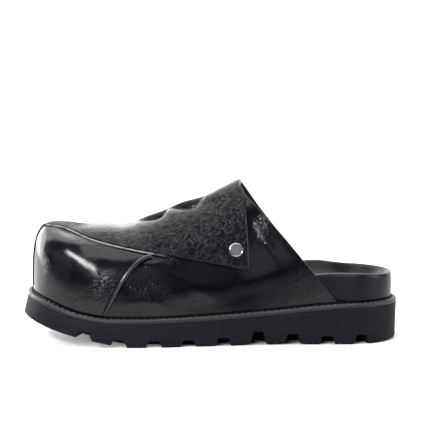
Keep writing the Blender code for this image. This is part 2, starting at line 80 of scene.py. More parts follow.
SOFT_LIGHTS = (
    SoftLight("overhead_light", (0.0, 0.15, 1.35), (0.0, 0.0, 0.05), 1.3, 0.9, 22.0),
    SoftLight("corner_light", (-1.07, 0.6, 1.32), (-0.12, 0.0, 0.08), 1.05, 1.2, 17.0),
    SoftLight("toe_light", (-1.85, 1.45, 0.62), (-0.14, 0.0, 0.07), 1.35, 1.3, 40.0),
    SoftLight("front_light", (0.0, -0.85, 1.35), (0.0, -0.3, 0.0), 1.3, 0.9, 14.0),
    SoftLight("left_light", (-1.74, -0.77, 0.69), (-0.12, 0.0, 0.07), 1.25, 1.3, 2.0),
    SoftLight("camera_card", (0.163, -2.18, 0.53), (0.05, -0.03, 0.075), 0.5, 0.36, 0.7),
    SoftLight("heel_light", (1.9, -0.5, 0.7), (0.13, 0.0, 0.05), 0.9, 0.9, 38.0),
)
STREAK_FROM = Vector((-1.75, -0.95, 1.66))
STREAK_TO = Vector((-0.4, -2.34, 0.89))
STREAK_WIDTH = 0.28
STREAK_WATTS = 78.0


def aimed(thing, place, aim):
    """Puts a light or camera at a place, looking at a point."""
    thing.location = place
    look = Vector(aim) - Vector(place)
    thing.rotation_euler = look.to_track_quat("-Z", "Y").to_euler()
    bpy.context.scene.collection.objects.link(thing)


def area_light(name, width, depth, watts):
    """A soft light with a flat rectangular face."""
    lamp = bpy.data.lights.new(name, "AREA")
    lamp.shape = "RECTANGLE"
    lamp.size = width
    lamp.size_y = depth
    lamp.energy = watts
    return bpy.data.objects.new(name, lamp)


def wired(tree, kind, inputs=(), **settings):
    """A new node with its settings, and its inputs set to numbers or joined to other nodes."""
    node = tree.nodes.new("ShaderNode" + kind)
    for name, value in settings.items():
        setattr(node, name, value)
    for name, value in dict(inputs).items():
        if isinstance(value, bpy.types.NodeSocket):
            tree.links.new(value, node.inputs[name])
        else:
            node.inputs[name].default_value = value
    return node.outputs


def stretched(tree, **mapping):
    """The piece's own place in metres, as seen from axes that are moved, turned or drawn out."""
    place = wired(tree, "TexCoord")["Object"]
    return wired(tree, "Mapping", {"Vector": place, **mapping}, vector_type="TEXTURE")["Vector"]


def fading(tree, middle, reach):
    """A value that falls from 1 at a middle place to 0 at the end of its reach."""
    around = stretched(tree, Location=middle, Scale=reach)
    return wired(tree, "TexGradient", {"Vector": around}, gradient_type="SPHERICAL")["Fac"]


def stage_sheet(name, width, depth, stand, glow):
    """A plain sheet of pale paper, for the floor or the backdrop."""
    mesh = bmesh.new()
    size = Matrix.Diagonal((width, depth, 1.0, 1.0))
    bmesh.ops.create_grid(mesh, x_segments=1, y_segments=1, size=0.5, matrix=stand @ size)
    data = bpy.data.meshes.new(name)
    mesh.to_mesh(data)
    sheet = bpy.data.objects.new(name, data)
    bpy.context.scene.collection.objects.link(sheet)
    paper = bpy.data.materials.new(name + "_paper")
    paper.use_nodes = True
    shader = paper.node_tree.nodes["Principled BSDF"]
    shader.inputs["Base Color"].default_value = PAPER_COLOUR
    shader.inputs["Roughness"].default_value = PAPER_ROUGHNESS
    shader.inputs["Specular IOR Level"].default_value = PAPER_SPECULAR
    shader.inputs["Emission Color"].default_value = WHITE
    shader.inputs["Emission Strength"].default_value = glow
    data.materials.append(paper)
    return paper.node_tree, shader


camera = bpy.data.objects.new("camera", bpy.data.cameras.new("camera"))
camera.data.lens = LENS_MM
camera.data.sensor_width = SENSOR_MM
aimed(camera, EYE, AIM)
bpy.context.scene.camera = camera
bpy.context.scene.view_settings.view_transform = "Standard"

for light in SOFT_LIGHTS:
    aimed(area_light(light.name, light.width, light.depth, light.watts), light.place, light.aim)

streak = area_light("streak_light", (STREAK_TO - STREAK_FROM).length, STREAK_WIDTH, STREAK_WATTS)
bpy.context.scene.collection.objects.link(streak)
streak_along = (STREAK_TO - STREAK_FROM).normalized()
streak_middle = (STREAK_FROM + STREAK_TO) / 2
streak_back = streak_middle - streak_along * streak_middle.dot(streak_along)
streak_back.normalize()
streak_turn = Matrix((streak_along, streak_back.cross(streak_along), streak_back)).transposed()
streak.matrix_world = Matrix.Translation(streak_middle) @ streak_turn.to_4x4()

room = bpy.data.lights.new("room_light", "SUN")
room.energy = ROOM_LIGHT
room.angle = math.radians(ROOM_LIGHT_SPREAD)
aimed(bpy.data.objects.new("room_light", room), ROOM_LIGHT_PLACE, (0.0, 0.0, 0.0))

sky = bpy.data.worlds.new("studio_sky")
bpy.context.scene.world = sky
sky.use_nodes = True
direction = wired(sky.node_tree, "TexCoord")["Generated"]
rise = wired(sky.node_tree, "SeparateXYZ", {"Vector": direction})["Z"]
halved = wired(sky.node_tree, "MapRange", {"Value": rise, "From Min": -1.0})["Result"]
strength = wired(sky.node_tree, "FloatCurve", {"Value": halved})["Value"]
sky_mapping = strength.node.mapping
sky_curve = sky_mapping.curves[0].points
sky_curve[0].location = (0.0, SKY_STEPS[0].strength)
sky_curve[1].location = (1.0, SKY_STEPS[-1].strength)
for step in SKY_STEPS:
    sky_curve.new((step.rise + 1) / 2, step.strength)
for point in sky_curve:
    point.handle_type = "VECTOR"
sky_mapping.update()
background = sky.node_tree.nodes["Background"]
background.inputs["Color"].default_value = WHITE
sky.node_tree.links.new(strength, background.inputs["Strength"])

# The floor's glow is painted light that lifts its shade; it fades out round the shoe's footprint.
floor_place = Matrix.Translation((0, FLOOR_FRONT_Y + FLOOR_SIZE / 2, 0))
paper, shader = stage_sheet("floor", FLOOR_SIZE, FLOOR_SIZE, floor_place, FLOOR_GLOW)
footprint = fading(paper, FOOTPRINT_MIDDLE, FOOTPRINT_REACH)
span = {"From Max": FOOTPRINT_FADE, "To Min": FLOOR_GLOW, "To Max": 0.0}
floor_glow = wired(paper, "MapRange", {"Value": footprint, **span})["Result"]
paper.links.new(floor_glow, shader.inputs["Emission Strength"])

backdrop_place = Matrix.Translation((0, BACKDROP_Y, BACKDROP_HEIGHT / 2))
upright = backdrop_place @ Matrix.Rotation(math.pi / 2, 4, "X")
stage_sheet("backdrop", BACKDROP_WIDTH, BACKDROP_HEIGHT, upright, BACKDROP_GLOW)


# The outsole: one piece of black moulded rubber with bars across its tread. Its side was
# buffed, which left fine lines along it; its edges are slightly round.
MM = 0.001
SOLE_EDGE_ROUND = 0.5 * MM
SOLE_DARK = (0.0023, 0.0021, 0.004, 1.0)
SOLE_RUBBED = (0.0052, 0.005, 0.0078, 1.0)


def placed(name, mesh, *finishes, sharp=None):
    """Makes a smooth piece of a bmesh, sharp past an angle, with its finishes, on the shoe's body."""
    data = bpy.data.meshes.new(name)
    mesh.to_mesh(data)
    mesh.free()
    data.shade_smooth()
    if sharp:
        data.set_sharp_from_angle(angle=math.radians(sharp))
    for finish in finishes:
        data.materials.append(finish.material)
    piece = bpy.data.objects.new(name, data)
    bpy.context.scene.collection.objects.link(piece)
    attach(piece, "root")
    return piece


def merged_copy(node):
    """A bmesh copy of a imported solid, with its loose triangles merged and its flats dissolved."""
    mesh = bmesh.new()
    mesh.from_mesh(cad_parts[node].data)
    bmesh.ops.remove_doubles(mesh, verts=mesh.verts, dist=0.005 * MM)
    bmesh.ops.dissolve_limit(
        mesh, angle_limit=math.radians(0.5), verts=mesh.verts, edges=mesh.edges,
        use_dissolve_boundaries=False, delimit=set(),
    )
    return mesh


def rounded_edges(piece, width, angle=40.0, segments=2):
    """Adds a small live round to a piece's sharp edges."""
    bevel = piece.modifiers.new("round", "BEVEL")
    bevel.width = width
    bevel.segments = segments
    bevel.limit_method = "ANGLE"
    bevel.angle_limit = math.radians(angle)
    bevel.harden_normals = True


class Finish:
    """A new material with its colour and shine set, and the ways to build up its surface."""

    def __init__(self, name, colour, specular=0.5):
        self.material = bpy.data.materials.new(name)
        self.material.use_nodes = True
        self.tree = self.material.node_tree
        self.inputs = self.tree.nodes["Principled BSDF"].inputs
        self.inputs["Base Color"].default_value = colour
        self.inputs["Specular IOR Level"].default_value = specular

    def noise(self, scale, stretch=(1, 1, 1), turn=(0, 0, 0), detail=4.0, rough=0.55):
        """Noise on the piece's own place, drawn out along turned axes."""
        place = stretched(self.tree, Rotation=[math.radians(angle) for angle in turn], Scale=stretch)
        sizes = {"Scale": scale, "Detail": detail, "Roughness": rough}
        return wired(self.tree, "TexNoise", {"Vector": place, **sizes})["Fac"]

    def remapped(self, value, low, high, start=0.3, end=0.7):
        """A value stretched from start..end to low..high."""
        span = {"From Min": start, "From Max": end, "To Min": low, "To Max": high}
        return wired(self.tree, "MapRange", {"Value": value, **span})["Result"]

    def roughened(self, value, low, high):
        """Lets the roughness follow a value, between low and high."""
        self.tree.links.new(self.remapped(value, low, high), self.inputs["Roughness"])

    def mottled(self, scale, detail, low, high, depth=0.0):
        """Lets fine noise vary the roughness between low and high, and bump the surface."""
        noise = self.noise(scale, detail=detail)
        self.roughened(noise, low, high)
        if depth:
            self.bumped(noise, depth)
        return noise

    def bumped(self, height, depth):
        """Adds a bump of a height value, over any bump that is already there."""
        inputs = {"Height": height, "Distance": depth, "Strength": 1.0}
        for link in self.inputs["Normal"].links:
            inputs["Normal"] = link.from_socket
        self.tree.links.new(wired(self.tree, "Bump", inputs)["Normal"], self.inputs["Normal"])

    def tinted(self, value, dark, light):
        """Varies the colour between two tones by a value."""
        share = self.remapped(value, 0.0, 1.0)
        tones = {"Factor": share, "A": dark, "B": light}
        mix = wired(self.tree, "Mix", tones, data_type="RGBA")["Result"]
        self.tree.links.new(mix, self.inputs["Base Color"])


sole_rubber = Finish("sole_rubber", SOLE_RUBBED, specular=0.08)
buffing = sole_rubber.noise(scale=900.0, stretch=(30.0, 30.0, 1.0), detail=3.0)
speckle = sole_rubber.noise(scale=1500.0, detail=2.0)
sole_rubber.roughened(speckle, low=0.55, high=0.8)
sole_rubber.tinted(buffing, SOLE_DARK, SOLE_RUBBED)
sole_rubber.bumped(buffing, depth=0.12 * MM)
sole_rubber.bumped(speckle, depth=0.1 * MM)

outsole = placed("rubber_outsole", merged_copy("outsole"), sole_rubber, sharp=35.0)
rounded_edges(outsole, SOLE_EDGE_ROUND)
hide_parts("outsole")


# The welt: a satin rubber strip sewn round the sole's top edge, with a bevelled lip and a
# ledge that carries one row of pale stitches. Its faces deep inside the lip are painted
# near-black as shade.
TIP_X = -147.5
TIP_Y = 9.0
HEEL_X = 150.0
HEEL_ROUND = 44.0
HEEL_POWER = 2.15
TOE_CENTRE_Y = -4.0
Plan = namedtuple("Plan", "x lateral medial")
PLAN = (
    Plan(-100.0, 55.5, 53.5),
    Plan(-70.0, 56.5, 56.5),
    Plan(-40.0, 55.0, 53.0),
    Plan(0.0, 49.5, 44.5),
    Plan(45.0, 43.5, 39.5),
    Plan(85.0, 41.5, 40.0),
    Plan(110.0, 41.5, 40.5),
)
Side = namedtuple("Side", "name sign toe_round toe_power back_x throat_bow bow_around")
LATERAL = Side("lateral", -1, 58.0, 2.1, 100.0, -4.0, (0.3, 0.7, 1.0))
MEDIAL = Side("medial", 1, 44.0, 2.5, 86.0, 2.4, (0.02, 0.28, 0.56))
Line = namedtuple("Line", "x height")
SEAT = (
    Line(-150.0, 35.1),
    Line(-133.0, 31.6),
    Line(-118.0, 26.8),
    Line(-103.0, 22.8),
    Line(-85.0, 19.8),
    Line(-60.0, 19.0),
    Line(-20.0, 19.8),
    Line(45.0, 23.4),
    Line(103.0, 28.6),
    Line(150.0, 29.8),
)
GAP = 0.3
WELT_TOP = 4.9
WELT_INNER = 13.0
WeltPoint = namedtuple("WeltPoint", "inset height")
WELT_PROFILE = (
    WeltPoint(WELT_INNER, 0.05),
    WeltPoint(0.5, 0.05),
    WeltPoint(0.15, 0.25),
    WeltPoint(0.0, 0.7),
    WeltPoint(0.05, 1.8),
    WeltPoint(0.3, 2.6),
    WeltPoint(0.9, 3.25),
    WeltPoint(1.7, 3.5),
    WeltPoint(2.5, 3.45),
    WeltPoint(3.0, 3.2),
    WeltPoint(3.5, 2.6),
    WeltPoint(4.2, 2.35),
    WeltPoint(5.0, 2.6),
    WeltPoint(5.6, 3.6),
    WeltPoint(6.2, WELT_TOP),
    WeltPoint(WELT_INNER, WELT_TOP),
)
GROOVE_INSET = 2.7
WELT_STEPS = 280
WELT_COLOUR = (0.0055, 0.0052, 0.008, 1.0)
GROOVE_SHADE_COLOUR = (0.001, 0.001, 0.001, 1.0)
OUTLINE_STEPS = 200
TOE_FRONT_STEPS = 150


def curve(table, column):
    """A function that reads one column of a table along a smooth line through its rows."""
    places = np.array([row[0] for row in table])
    values = np.array([getattr(row, column) for row in table])
    slopes = np.gradient(values, places)

    def read(at):
        at = np.clip(at, places[0], places[-1])
        i = np.clip(np.searchsorted(places, at) - 1, 0, len(places) - 2)
        step = places[i + 1] - places[i]
        t = (at - places[i]) / step
        from_left = (1 + 2 * t) * values[i] + t * step * slopes[i]
        from_right = (3 - 2 * t) * values[i + 1] - (1 - t) * step * slopes[i + 1]
        return (1 - t) ** 2 * from_left + t**2 * from_right

    return read


def ease(at, start, end):
    """0 before start, 1 after end, and a soft step between them."""
    t = np.clip((at - start) / (end - start), 0.0, 1.0)
    return t * t * (3 - 2 * t)


def rounded_end(length, power):
    """A quarter of a squared ellipse: runs back from the tip, and shares of the full width."""
    angle = np.linspace(0, math.pi / 2, OUTLINE_STEPS)
    return length * (1 - np.cos(angle) ** (2 / power)), np.sin(angle) ** (2 / power)


def half_outline(side):
    """One side of the sole's top edge from above, from the toe's tip to the heel's tip."""
    toe_run, toe_share = rounded_end(side.toe_round, side.toe_power)
    heel_run, heel_share = rounded_end(HEEL_ROUND, HEEL_POWER)
    toe_x = TIP_X + toe_run
    heel_x = (HEEL_X - heel_run)[::-1]
    side_x = np.linspace(toe_x[-1], heel_x[0], OUTLINE_STEPS)[1:-1]
    x = np.concatenate([toe_x, side_x, heel_x])
    y = side.sign * curve(PLAN, side.name)(x)
    toe = slice(0, len(toe_x))
    heel = slice(len(x) - len(heel_x), len(x))
    y[toe] = TIP_Y + (y[toe] - TIP_Y) * toe_share
    y[heel] = y[heel] * heel_share[::-1]
    return np.column_stack([x, y])


class SoleEdge:
    """The sole's top edge as a closed line, measured by its run from the toe's tip."""

    def __init__(self):
        lateral, medial = half_outline(LATERAL), half_outline(MEDIAL)
        self.points = np.vstack([lateral, medial[-2:0:-1]])
        ahead = np.roll(self.points, -1, axis=0)
        lengths = np.linalg.norm(ahead - self.points, axis=1)
        self.total = lengths.sum()
        self.runs = np.concatenate([[0.0], np.cumsum(lengths)[:-1]])
        along = ahead - np.roll(self.points, 1, axis=0)
        along /= np.linalg.norm(along, axis=1)[:, None]
        self.outward = np.column_stack([along[:, 1], -along[:, 0]])
        heel = len(lateral)
        self.heel_run = self.runs[heel - 1]
        medial_runs = np.append(self.runs[heel - 1:], self.total)[::-1] - self.total
        self.side_x = {
            LATERAL: (lateral[:, 0], self.runs[:heel]),
            MEDIAL: (medial[:, 0], medial_runs),
        }
        front_y = lateral[:TOE_FRONT_STEPS, 1]
        front_runs = self.runs[:TOE_FRONT_STEPS]
        self.start_run = float(np.interp(-TOE_CENTRE_Y, -front_y, front_runs))

    def at(self, run, inset=0.0):
        """x and y at a run along the edge, moved in by the inset."""
        x, y, out_x, out_y = (
            np.interp(run, self.runs, values, period=self.total)
            for values in (*self.points.T, *self.outward.T)
        )
        return x - inset * out_x, y - inset * out_y

    def depth_inside(self, place):
        """How far a place lies inside the edge, seen from above."""
        return np.hypot(self.points[:, 0] - place[0], self.points[:, 1] - place[1]).min()

    def run_at_x(self, side, x):
        """The run where one side of the edge reaches an x."""
        return np.interp(x, *self.side_x[side])

    def half_runs(self, side, shares):
        """Runs at shares of the way from the toe's centre to the heel's tip, on one side."""
        end = self.heel_run if side is LATERAL else self.heel_run - self.total
        return self.start_run + shares * (end - self.start_run)

    def round_runs(self, shares):
        """Runs all round: out along the lateral side in the first half, back in the second."""
        lateral = self.half_runs(LATERAL, np.minimum(2 * shares, 1.0))
        medial = self.half_runs(MEDIAL, np.minimum(2 - 2 * shares, 1.0))
        return np.where(shares <= 0.5, lateral, medial + self.total)


EDGE = SoleEdge()
seat_height = curve(SEAT, "height")


def formed(columns, rows, form):
    """A bmesh grid whose points are moved to where form puts their two shares, in millimetres."""
    mesh = bmesh.new()
    bmesh.ops.create_grid(mesh, x_segments=columns, y_segments=rows, size=0.5)
    shares = np.array([v.co[:2] for v in mesh.verts]) + 0.5
    across = np.round(shares[:, 0] * columns) / columns
    along = np.round(shares[:, 1] * rows) / rows
    for vert, place in zip(mesh.verts, form(across, along) * MM):
        vert.co = place
    bmesh.ops.remove_doubles(mesh, verts=mesh.verts, dist=0.01 * MM)
    return mesh


def welt_form(across, along):
    """Points of the welt: across runs round the edge, along runs round its profile."""
    row = np.round(along * len(WELT_PROFILE)).astype(int) % len(WELT_PROFILE)
    inset = np.array([point.inset for point in WELT_PROFILE])[row]
    height = np.array([point.height for point in WELT_PROFILE])[row]
    runs = EDGE.round_runs(across)
    x, y = EDGE.at(runs, inset)
    return np.column_stack([x, y, seat_height(EDGE.at(runs)[0]) + height])


welt_rubber = Finish("welt_rubber", WELT_COLOUR, specular=0.26)
scuff = welt_rubber.noise(scale=220.0, stretch=(2.5, 2.5, 0.7))
welt_rubber.roughened(scuff, low=0.38, high=0.58)
welt_rubber.bumped(welt_rubber.noise(scale=1100.0, detail=2.0), depth=0.08 * MM)

# Painted shade: near-black rubber for the welt's deep faces, standing in for shade in the stitch groove.
groove_painted_shade = Finish("groove_painted_shade", GROOVE_SHADE_COLOUR, specular=0.03)
groove_painted_shade.mottled(scale=400.0, detail=4.0, low=0.6, high=0.8)

mesh = formed(WELT_STEPS, len(WELT_PROFILE), welt_form)
bmesh.ops.recalc_face_normals(mesh, faces=mesh.faces)
# Faces deeper in than the groove's inset get the near-black painted shade.
for face in mesh.faces:
    depths = [EDGE.depth_inside(v.co / MM) for v in face.verts]
    face.material_index = int(min(depths) > GROOVE_INSET)
welt = placed("sewn_welt", mesh, welt_rubber, groove_painted_shade, sharp=50.0)
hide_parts("welt")


# The welt's stitches: one row of waxed thread all round, in short runs that dip into the
# welt's ledge.
STITCH_PITCH = 5.2
STITCH_LENGTH = 2.6
STITCH_THICKNESS = 0.8
STITCH_INSET = 4.1
STITCH_HEIGHT = 3.1
THREAD_COLOUR = (0.06, 0.06, 0.06, 1.0)


def add_stitch(mesh, place, along, out, length, thickness):
    """Adds one short run of thread, a lozenge that lies along its seam."""
    along = Vector(along).normalized()
    out = (Vector(out) - along * Vector(out).dot(along)).normalized()
    turn = Matrix((along, out.cross(along), out)).transposed().to_4x4()
    size = Matrix.Diagonal((length / 2, thickness / 2, thickness / 2, 1))
    spot = Matrix.Translation(Vector(place) * MM) @ turn @ size @ Matrix.Scale(MM, 4)
    bmesh.ops.create_icosphere(mesh, subdivisions=1, radius=1.0, matrix=spot)


waxed_thread = Finish("waxed_thread", THREAD_COLOUR)
waxed_thread.mottled(scale=2500.0, detail=1.0, low=0.35, high=0.6, depth=0.1 * MM)

mesh = bmesh.new()
stitch_count = round(EDGE.total / STITCH_PITCH)
for i in range(stitch_count):
    runs = (np.array([0.0, 1.0]) + i) * EDGE.total / stitch_count
    x, y = EDGE.at(runs, STITCH_INSET)
    z = seat_height(EDGE.at(runs)[0]) + STITCH_HEIGHT
    here, ahead = np.column_stack([x, y, z])
    add_stitch(mesh, here, ahead - here, (0, 0, 1), STITCH_LENGTH, STITCH_THICKNESS)
welt_stitches = placed("welt_stitches", mesh, waxed_thread)


# The footbed: a shaped cork insole wrapped in smooth black leather, glued on the sole inside
# the welt. Its rim is round, and its heel end shows behind the upper.
FOOTBED_WALL_UNDER_UPPER = 9.9
FOOTBED_WALL_AT_HEEL = 4.4
FOOTBED_FLARE_X = (97.0, 124.0)
FOOTBED_PLUG = WELT_INNER + GAP
FEATHER_HEIGHT = WELT_TOP + GAP
RIM_BLEND_Y = 20.0
Footbed = namedtuple("Footbed", "x lateral_rim medial_rim cup")
FOOTBED = (
    Footbed(-150.0, 12.5, 12.5, 2.5),
    Footbed(-60.0, 15.0, 15.0, 3.5),
    Footbed(0.0, 20.0, 22.0, 5.5),
    Footbed(55.0, 27.0, 31.0, 11.5),
    Footbed(85.0, 27.4, 31.0, 12.5),
    Footbed(110.0, 27.0, 26.5, 12.5),
    Footbed(150.0, 23.9, 23.9, 12.0),
)
RimPoint = namedtuple("RimPoint", "step inset drop cup_share")
FOOTBED_RIM = (
    RimPoint(0.0, 0.0, 1.6, 0.0),
    RimPoint(1.0, 0.7, 0.5, 0.0),
    RimPoint(2.0, 2.2, 0.0, 0.0),
    RimPoint(3.0, 4.6, 0.9, 0.01),
    RimPoint(4.0, 8.0, 1.8, 0.35),
    RimPoint(5.0, 13.0, 0.8, 0.8),
    RimPoint(6.0, 20.0, 0.0, 1.0),
)
FOOTBED_STEPS = 240
BASE_ROWS = 3
WALL_END_ROW = BASE_ROWS + 8
RIM_ROWS = 24
FOOTBED_ROWS = WALL_END_ROW + RIM_ROWS + 1
WALL_BULGE = 0.3
FOOTBED_COLOUR = (0.0019, 0.0018, 0.0036, 1.0)
rim_inset = curve(FOOTBED_RIM, "inset")
rim_drop = curve(FOOTBED_RIM, "drop")
rim_cup_share = curve(FOOTBED_RIM, "cup_share")
lateral_rim = curve(FOOTBED, "lateral_rim")
medial_rim = curve(FOOTBED, "medial_rim")
footbed_cup = curve(FOOTBED, "cup")


def footbed_ring(row, runs):
    """Points of the footbed at rows over its base, wall and rim, and at runs round the edge."""
    edge_x, edge_y = EDGE.at(runs)
    flare = FOOTBED_WALL_AT_HEEL - FOOTBED_WALL_UNDER_UPPER
    wall = FOOTBED_WALL_UNDER_UPPER + flare * ease(edge_x, *FOOTBED_FLARE_X)
    inner_side = ease(edge_y, -RIM_BLEND_Y, RIM_BLEND_Y)
    seat = seat_height(edge_x)
    rim = seat + lateral_rim(edge_x) + inner_side * (medial_rim(edge_x) - lateral_rim(edge_x))
    step = np.clip((row - WALL_END_ROW) / RIM_ROWS, 0, 1) * FOOTBED_RIM[-1].step
    climb = np.clip((row - BASE_ROWS) / (WALL_END_ROW - BASE_ROWS), 0, 1)
    foot = seat + FEATHER_HEIGHT
    wall_inset = wall - WALL_BULGE * np.sin(math.pi * climb)
    inset = np.where(row <= WALL_END_ROW, wall_inset, wall + rim_inset(step))
    inset = np.where(row <= 2, FOOTBED_PLUG, inset)
    wall_z = foot + climb * (rim - rim_drop(0.0) - foot)
    surface = rim - rim_drop(step) - rim_cup_share(step) * footbed_cup(edge_x)
    lower_rows = [row <= 1, row <= 2, row <= WALL_END_ROW]
    z = np.select(lower_rows, [seat + GAP, foot, wall_z], surface)
    return np.column_stack([*EDGE.at(runs, inset), z])


def footbed_form(across, along):
    """Points of the footbed, from the middle of its base over its wall and rim to its middle."""
    row = np.round(along * FOOTBED_ROWS)
    places = footbed_ring(row, EDGE.round_runs(across))
    facing = footbed_ring(row, EDGE.round_runs(1 - across))
    middle = (row == 0) | (row == FOOTBED_ROWS)
    return np.where(middle[:, None], (places + facing) / 2, places)


footbed_leather = Finish("footbed_leather", FOOTBED_COLOUR, specular=0.1)
pores = footbed_leather.noise(scale=1300.0, detail=3.0)
ripples = footbed_leather.noise(scale=70.0, stretch=(1.0, 1.0, 3.0), detail=2.0)
footbed_leather.roughened(pores, low=0.32, high=0.46)
footbed_leather.inputs["Coat Weight"].default_value = 0.05
footbed_leather.inputs["Coat Roughness"].default_value = 0.25
footbed_leather.bumped(ripples, depth=0.12 * MM)
footbed_leather.bumped(pores, depth=0.06 * MM)

mesh = formed(FOOTBED_STEPS, FOOTBED_ROWS, footbed_form)
bmesh.ops.recalc_face_normals(mesh, faces=mesh.faces)
footbed = placed("wrapped_footbed", mesh, footbed_leather, sharp=60.0)
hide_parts("footbed")


# The upper: one lasted leather wall, the glossy outer quarter with its lining inside. It is
# sewn down to the welt and open at the throat and heel.
UPPER_INSET = 6.1
UPPER_WALL = 1.8
RIDGE_FRONT_X = -120.0
RIDGE_BACK_X = 24.0
RIDGE_Y = 2.0
RIDGE = (
    Line(-120.0, 92.4),
    Line(-112.0, 91.9),
    Line(-98.0, 89.6),
    Line(-80.0, 89.3),
    Line(-70.0, 88.6),
    Line(-62.0, 90.0),
    Line(-52.0, 94.5),
    Line(-36.0, 100.4),
    Line(-22.0, 106.7),
    Line(-6.0, 111.2),
    Line(8.0, 118.1),
    Line(24.0, 126.2),
)
Section = namedtuple("Section", "share power lean")
SECTIONS = (
    Section(0.0, 3.5, 0.0),
    Section(0.25, 3.2, 0.2),
    Section(0.5, 2.6, 1.0),
    Section(1.0, 2.3, 1.0),
)
BOW_SHARE = 0.6
RIDGE_SWAY = 0.3
# Dents of the instep beside the ridge: the leather stands up steeply on each one's far side
InstepDent = namedtuple("InstepDent", "x front back y skew near far depth")
INSTEP_DENTS = (
    InstepDent(-41.0, 17.0, 9.0, 2.5, -0.06, 17.0, 2.2, 5.2),
    InstepDent(-16.0, 17.5, 13.5, 2.0, -0.12, 19.0, 2.2, 6.6),
    InstepDent(3.0, 10.0, 12.0, -14.0, -0.25, 7.0, 2.2, 2.2),
)
# Soft folds of the outer side, placed in side view; a trough's height is negative
Fold = namedtuple("Fold", "x z slope length width height")
SIDE_FOLDS = (
    Fold(44.0, 80.0, -55.0, 14.0, 3.0, 0.3),
    Fold(39.0, 85.0, -58.0, 13.0, 3.0, -0.3),
    Fold(55.0, 78.0, -38.0, 12.0, 4.0, -0.2),
    Fold(-54.0, 34.0, 5.0, 16.0, 7.0, 0.5),
    Fold(-20.0, 52.0, -30.0, 26.0, 7.0, 0.6),
    Fold(-45.0, 45.0, -35.0, 18.0, 6.0, -0.6),
    Fold(5.0, 46.0, 10.0, 62.0, 8.0, 0.5),
    Fold(-40.0, 76.5, -8.0, 7.0, 2.2, -0.9),
    Fold(-44.0, 64.5, 8.0, 9.0, 2.0, 0.6),
)
LEATHER_EDGE_ROUND = 0.35
UPPER_ROWS = 150
UPPER_COLUMNS = 120
LEATHER_COLOUR = (0.0014, 0.0013, 0.0026, 1.0)
LINING_COLOUR = (0.006, 0.006, 0.006, 1.0)
ridge_height = curve(RIDGE, "height")
section_power = curve(SECTIONS, "power")
section_lean = curve(SECTIONS, "lean")


def last(side, share, around):
    """Points on the upper's outer face.

    share runs from the toe's centre line to the throat; around runs from the feather edge
    at 0 to the ridge at 1.
    """
    front, back = EDGE.start_run, EDGE.run_at_x(side, side.back_x)
    run = front + share * (back - front)
    foot_x, foot_y = EDGE.at(run, UPPER_INSET)
    foot_z = seat_height(EDGE.at(run)[0]) + FEATHER_HEIGHT
    ridge_x = RIDGE_FRONT_X + share * (RIDGE_BACK_X - RIDGE_FRONT_X)
    ridge_y = RIDGE_Y + (TOE_CENTRE_Y - RIDGE_Y) * (1 - ease(share, 0.0, RIDGE_SWAY))
    ridge_z = ridge_height(ridge_x)
    power = section_power(share)
    lean = section_lean(share)
    angle = around * math.pi / 2
    reach = (np.cos(angle) ** power + np.sin(angle) ** power) ** (-1 / power)
    out, up = reach * np.cos(angle), reach * np.sin(angle)
    x = ridge_x + (foot_x - ridge_x) * ((1 - lean) * out + lean * (1 - up))
    y = ridge_y + (foot_y - ridge_y) * out
    z = foot_z + (ridge_z - foot_z) * up
    start, middle, end = side.bow_around
    bow = ease(around, start, middle) - ease(around, middle, end)
    x = x + side.throat_bow * bow * ease(share, BOW_SHARE, 1.0)
    for dent in INSTEP_DENTS:
        along = (x - dent.x) / np.where(x < dent.x, dent.front, dent.back)
        across = y - dent.y - dent.skew * (x - dent.x)
        across = across / np.where(across < 0, dent.near, dent.far)
        window = np.clip(1 - along**2, 0, 1) ** 1.5
        z = z - dent.depth * window * np.exp(-(across**2))
    return np.column_stack(np.broadcast_arrays(x, y, z))


def last_normal(side, share, around, step=0.003):
    """The ways out of the upper's face at points on it."""
    ahead, behind = np.minimum(share + step, 1), np.maximum(share - step, 0)
    above, below = np.minimum(around + step, 1), np.maximum(around - step, 0)
    along = last(side, ahead, around) - last(side, behind, around)
    across = last(side, share, above) - last(side, share, below)
    normal = np.cross(along, across) * -side.sign
    return normal / np.linalg.norm(normal, axis=1)[:, None]


def fold_height(places):
    """How far the soft folds lift or press the outer side at places in millimetres."""
    total = np.zeros(len(places))
    for fold in SIDE_FOLDS:
        dx, dz = places[:, 0] - fold.x, places[:, 2] - fold.z
        turn = math.radians(fold.slope)
        along = (dx * math.cos(turn) + dz * math.sin(turn)) / fold.length
        across = (dz * math.cos(turn) - dx * math.sin(turn)) / fold.width
        total += fold.height * np.exp(-(along**2) - across**2)
    return total * (places[:, 1] < RIDGE_Y)


def raised(mesh, offset):
    """Faces a sheet outwards and moves it out by an offset and by the soft folds."""
    bmesh.ops.reverse_faces(mesh, faces=mesh.faces)
    mesh.normal_update()
    places = np.array([v.co for v in mesh.verts]) / MM
    normals = np.array([v.normal for v in mesh.verts])
    moved = places + normals * (offset + fold_height(places))[:, None]
    for vert, place in zip(mesh.verts, moved * MM):
        vert.co = place


def walled(piece, wall, outward, inner_slot=0):
    """Gives a sheet the thickness of its leather, with round edges."""
    solidify = piece.modifiers.new("wall", "SOLIDIFY")
    solidify.thickness = wall * MM
    solidify.offset = 1.0 if outward else -1.0
    solidify.use_even_offset = False
    solidify.material_offset = inner_slot
    rounded_edges(piece, LEATHER_EDGE_ROUND * wall * MM, angle=50.0, segments=3)


def upper_form(across, along):
    """Points of the upper: across runs from lateral to medial edge, along from toe to throat."""
    lateral = last(LATERAL, along, np.minimum(2 * across, 1.0))
    medial = last(MEDIAL, along, np.minimum(2 - 2 * across, 1.0))
    return np.where((across <= 0.5)[:, None], lateral, medial)


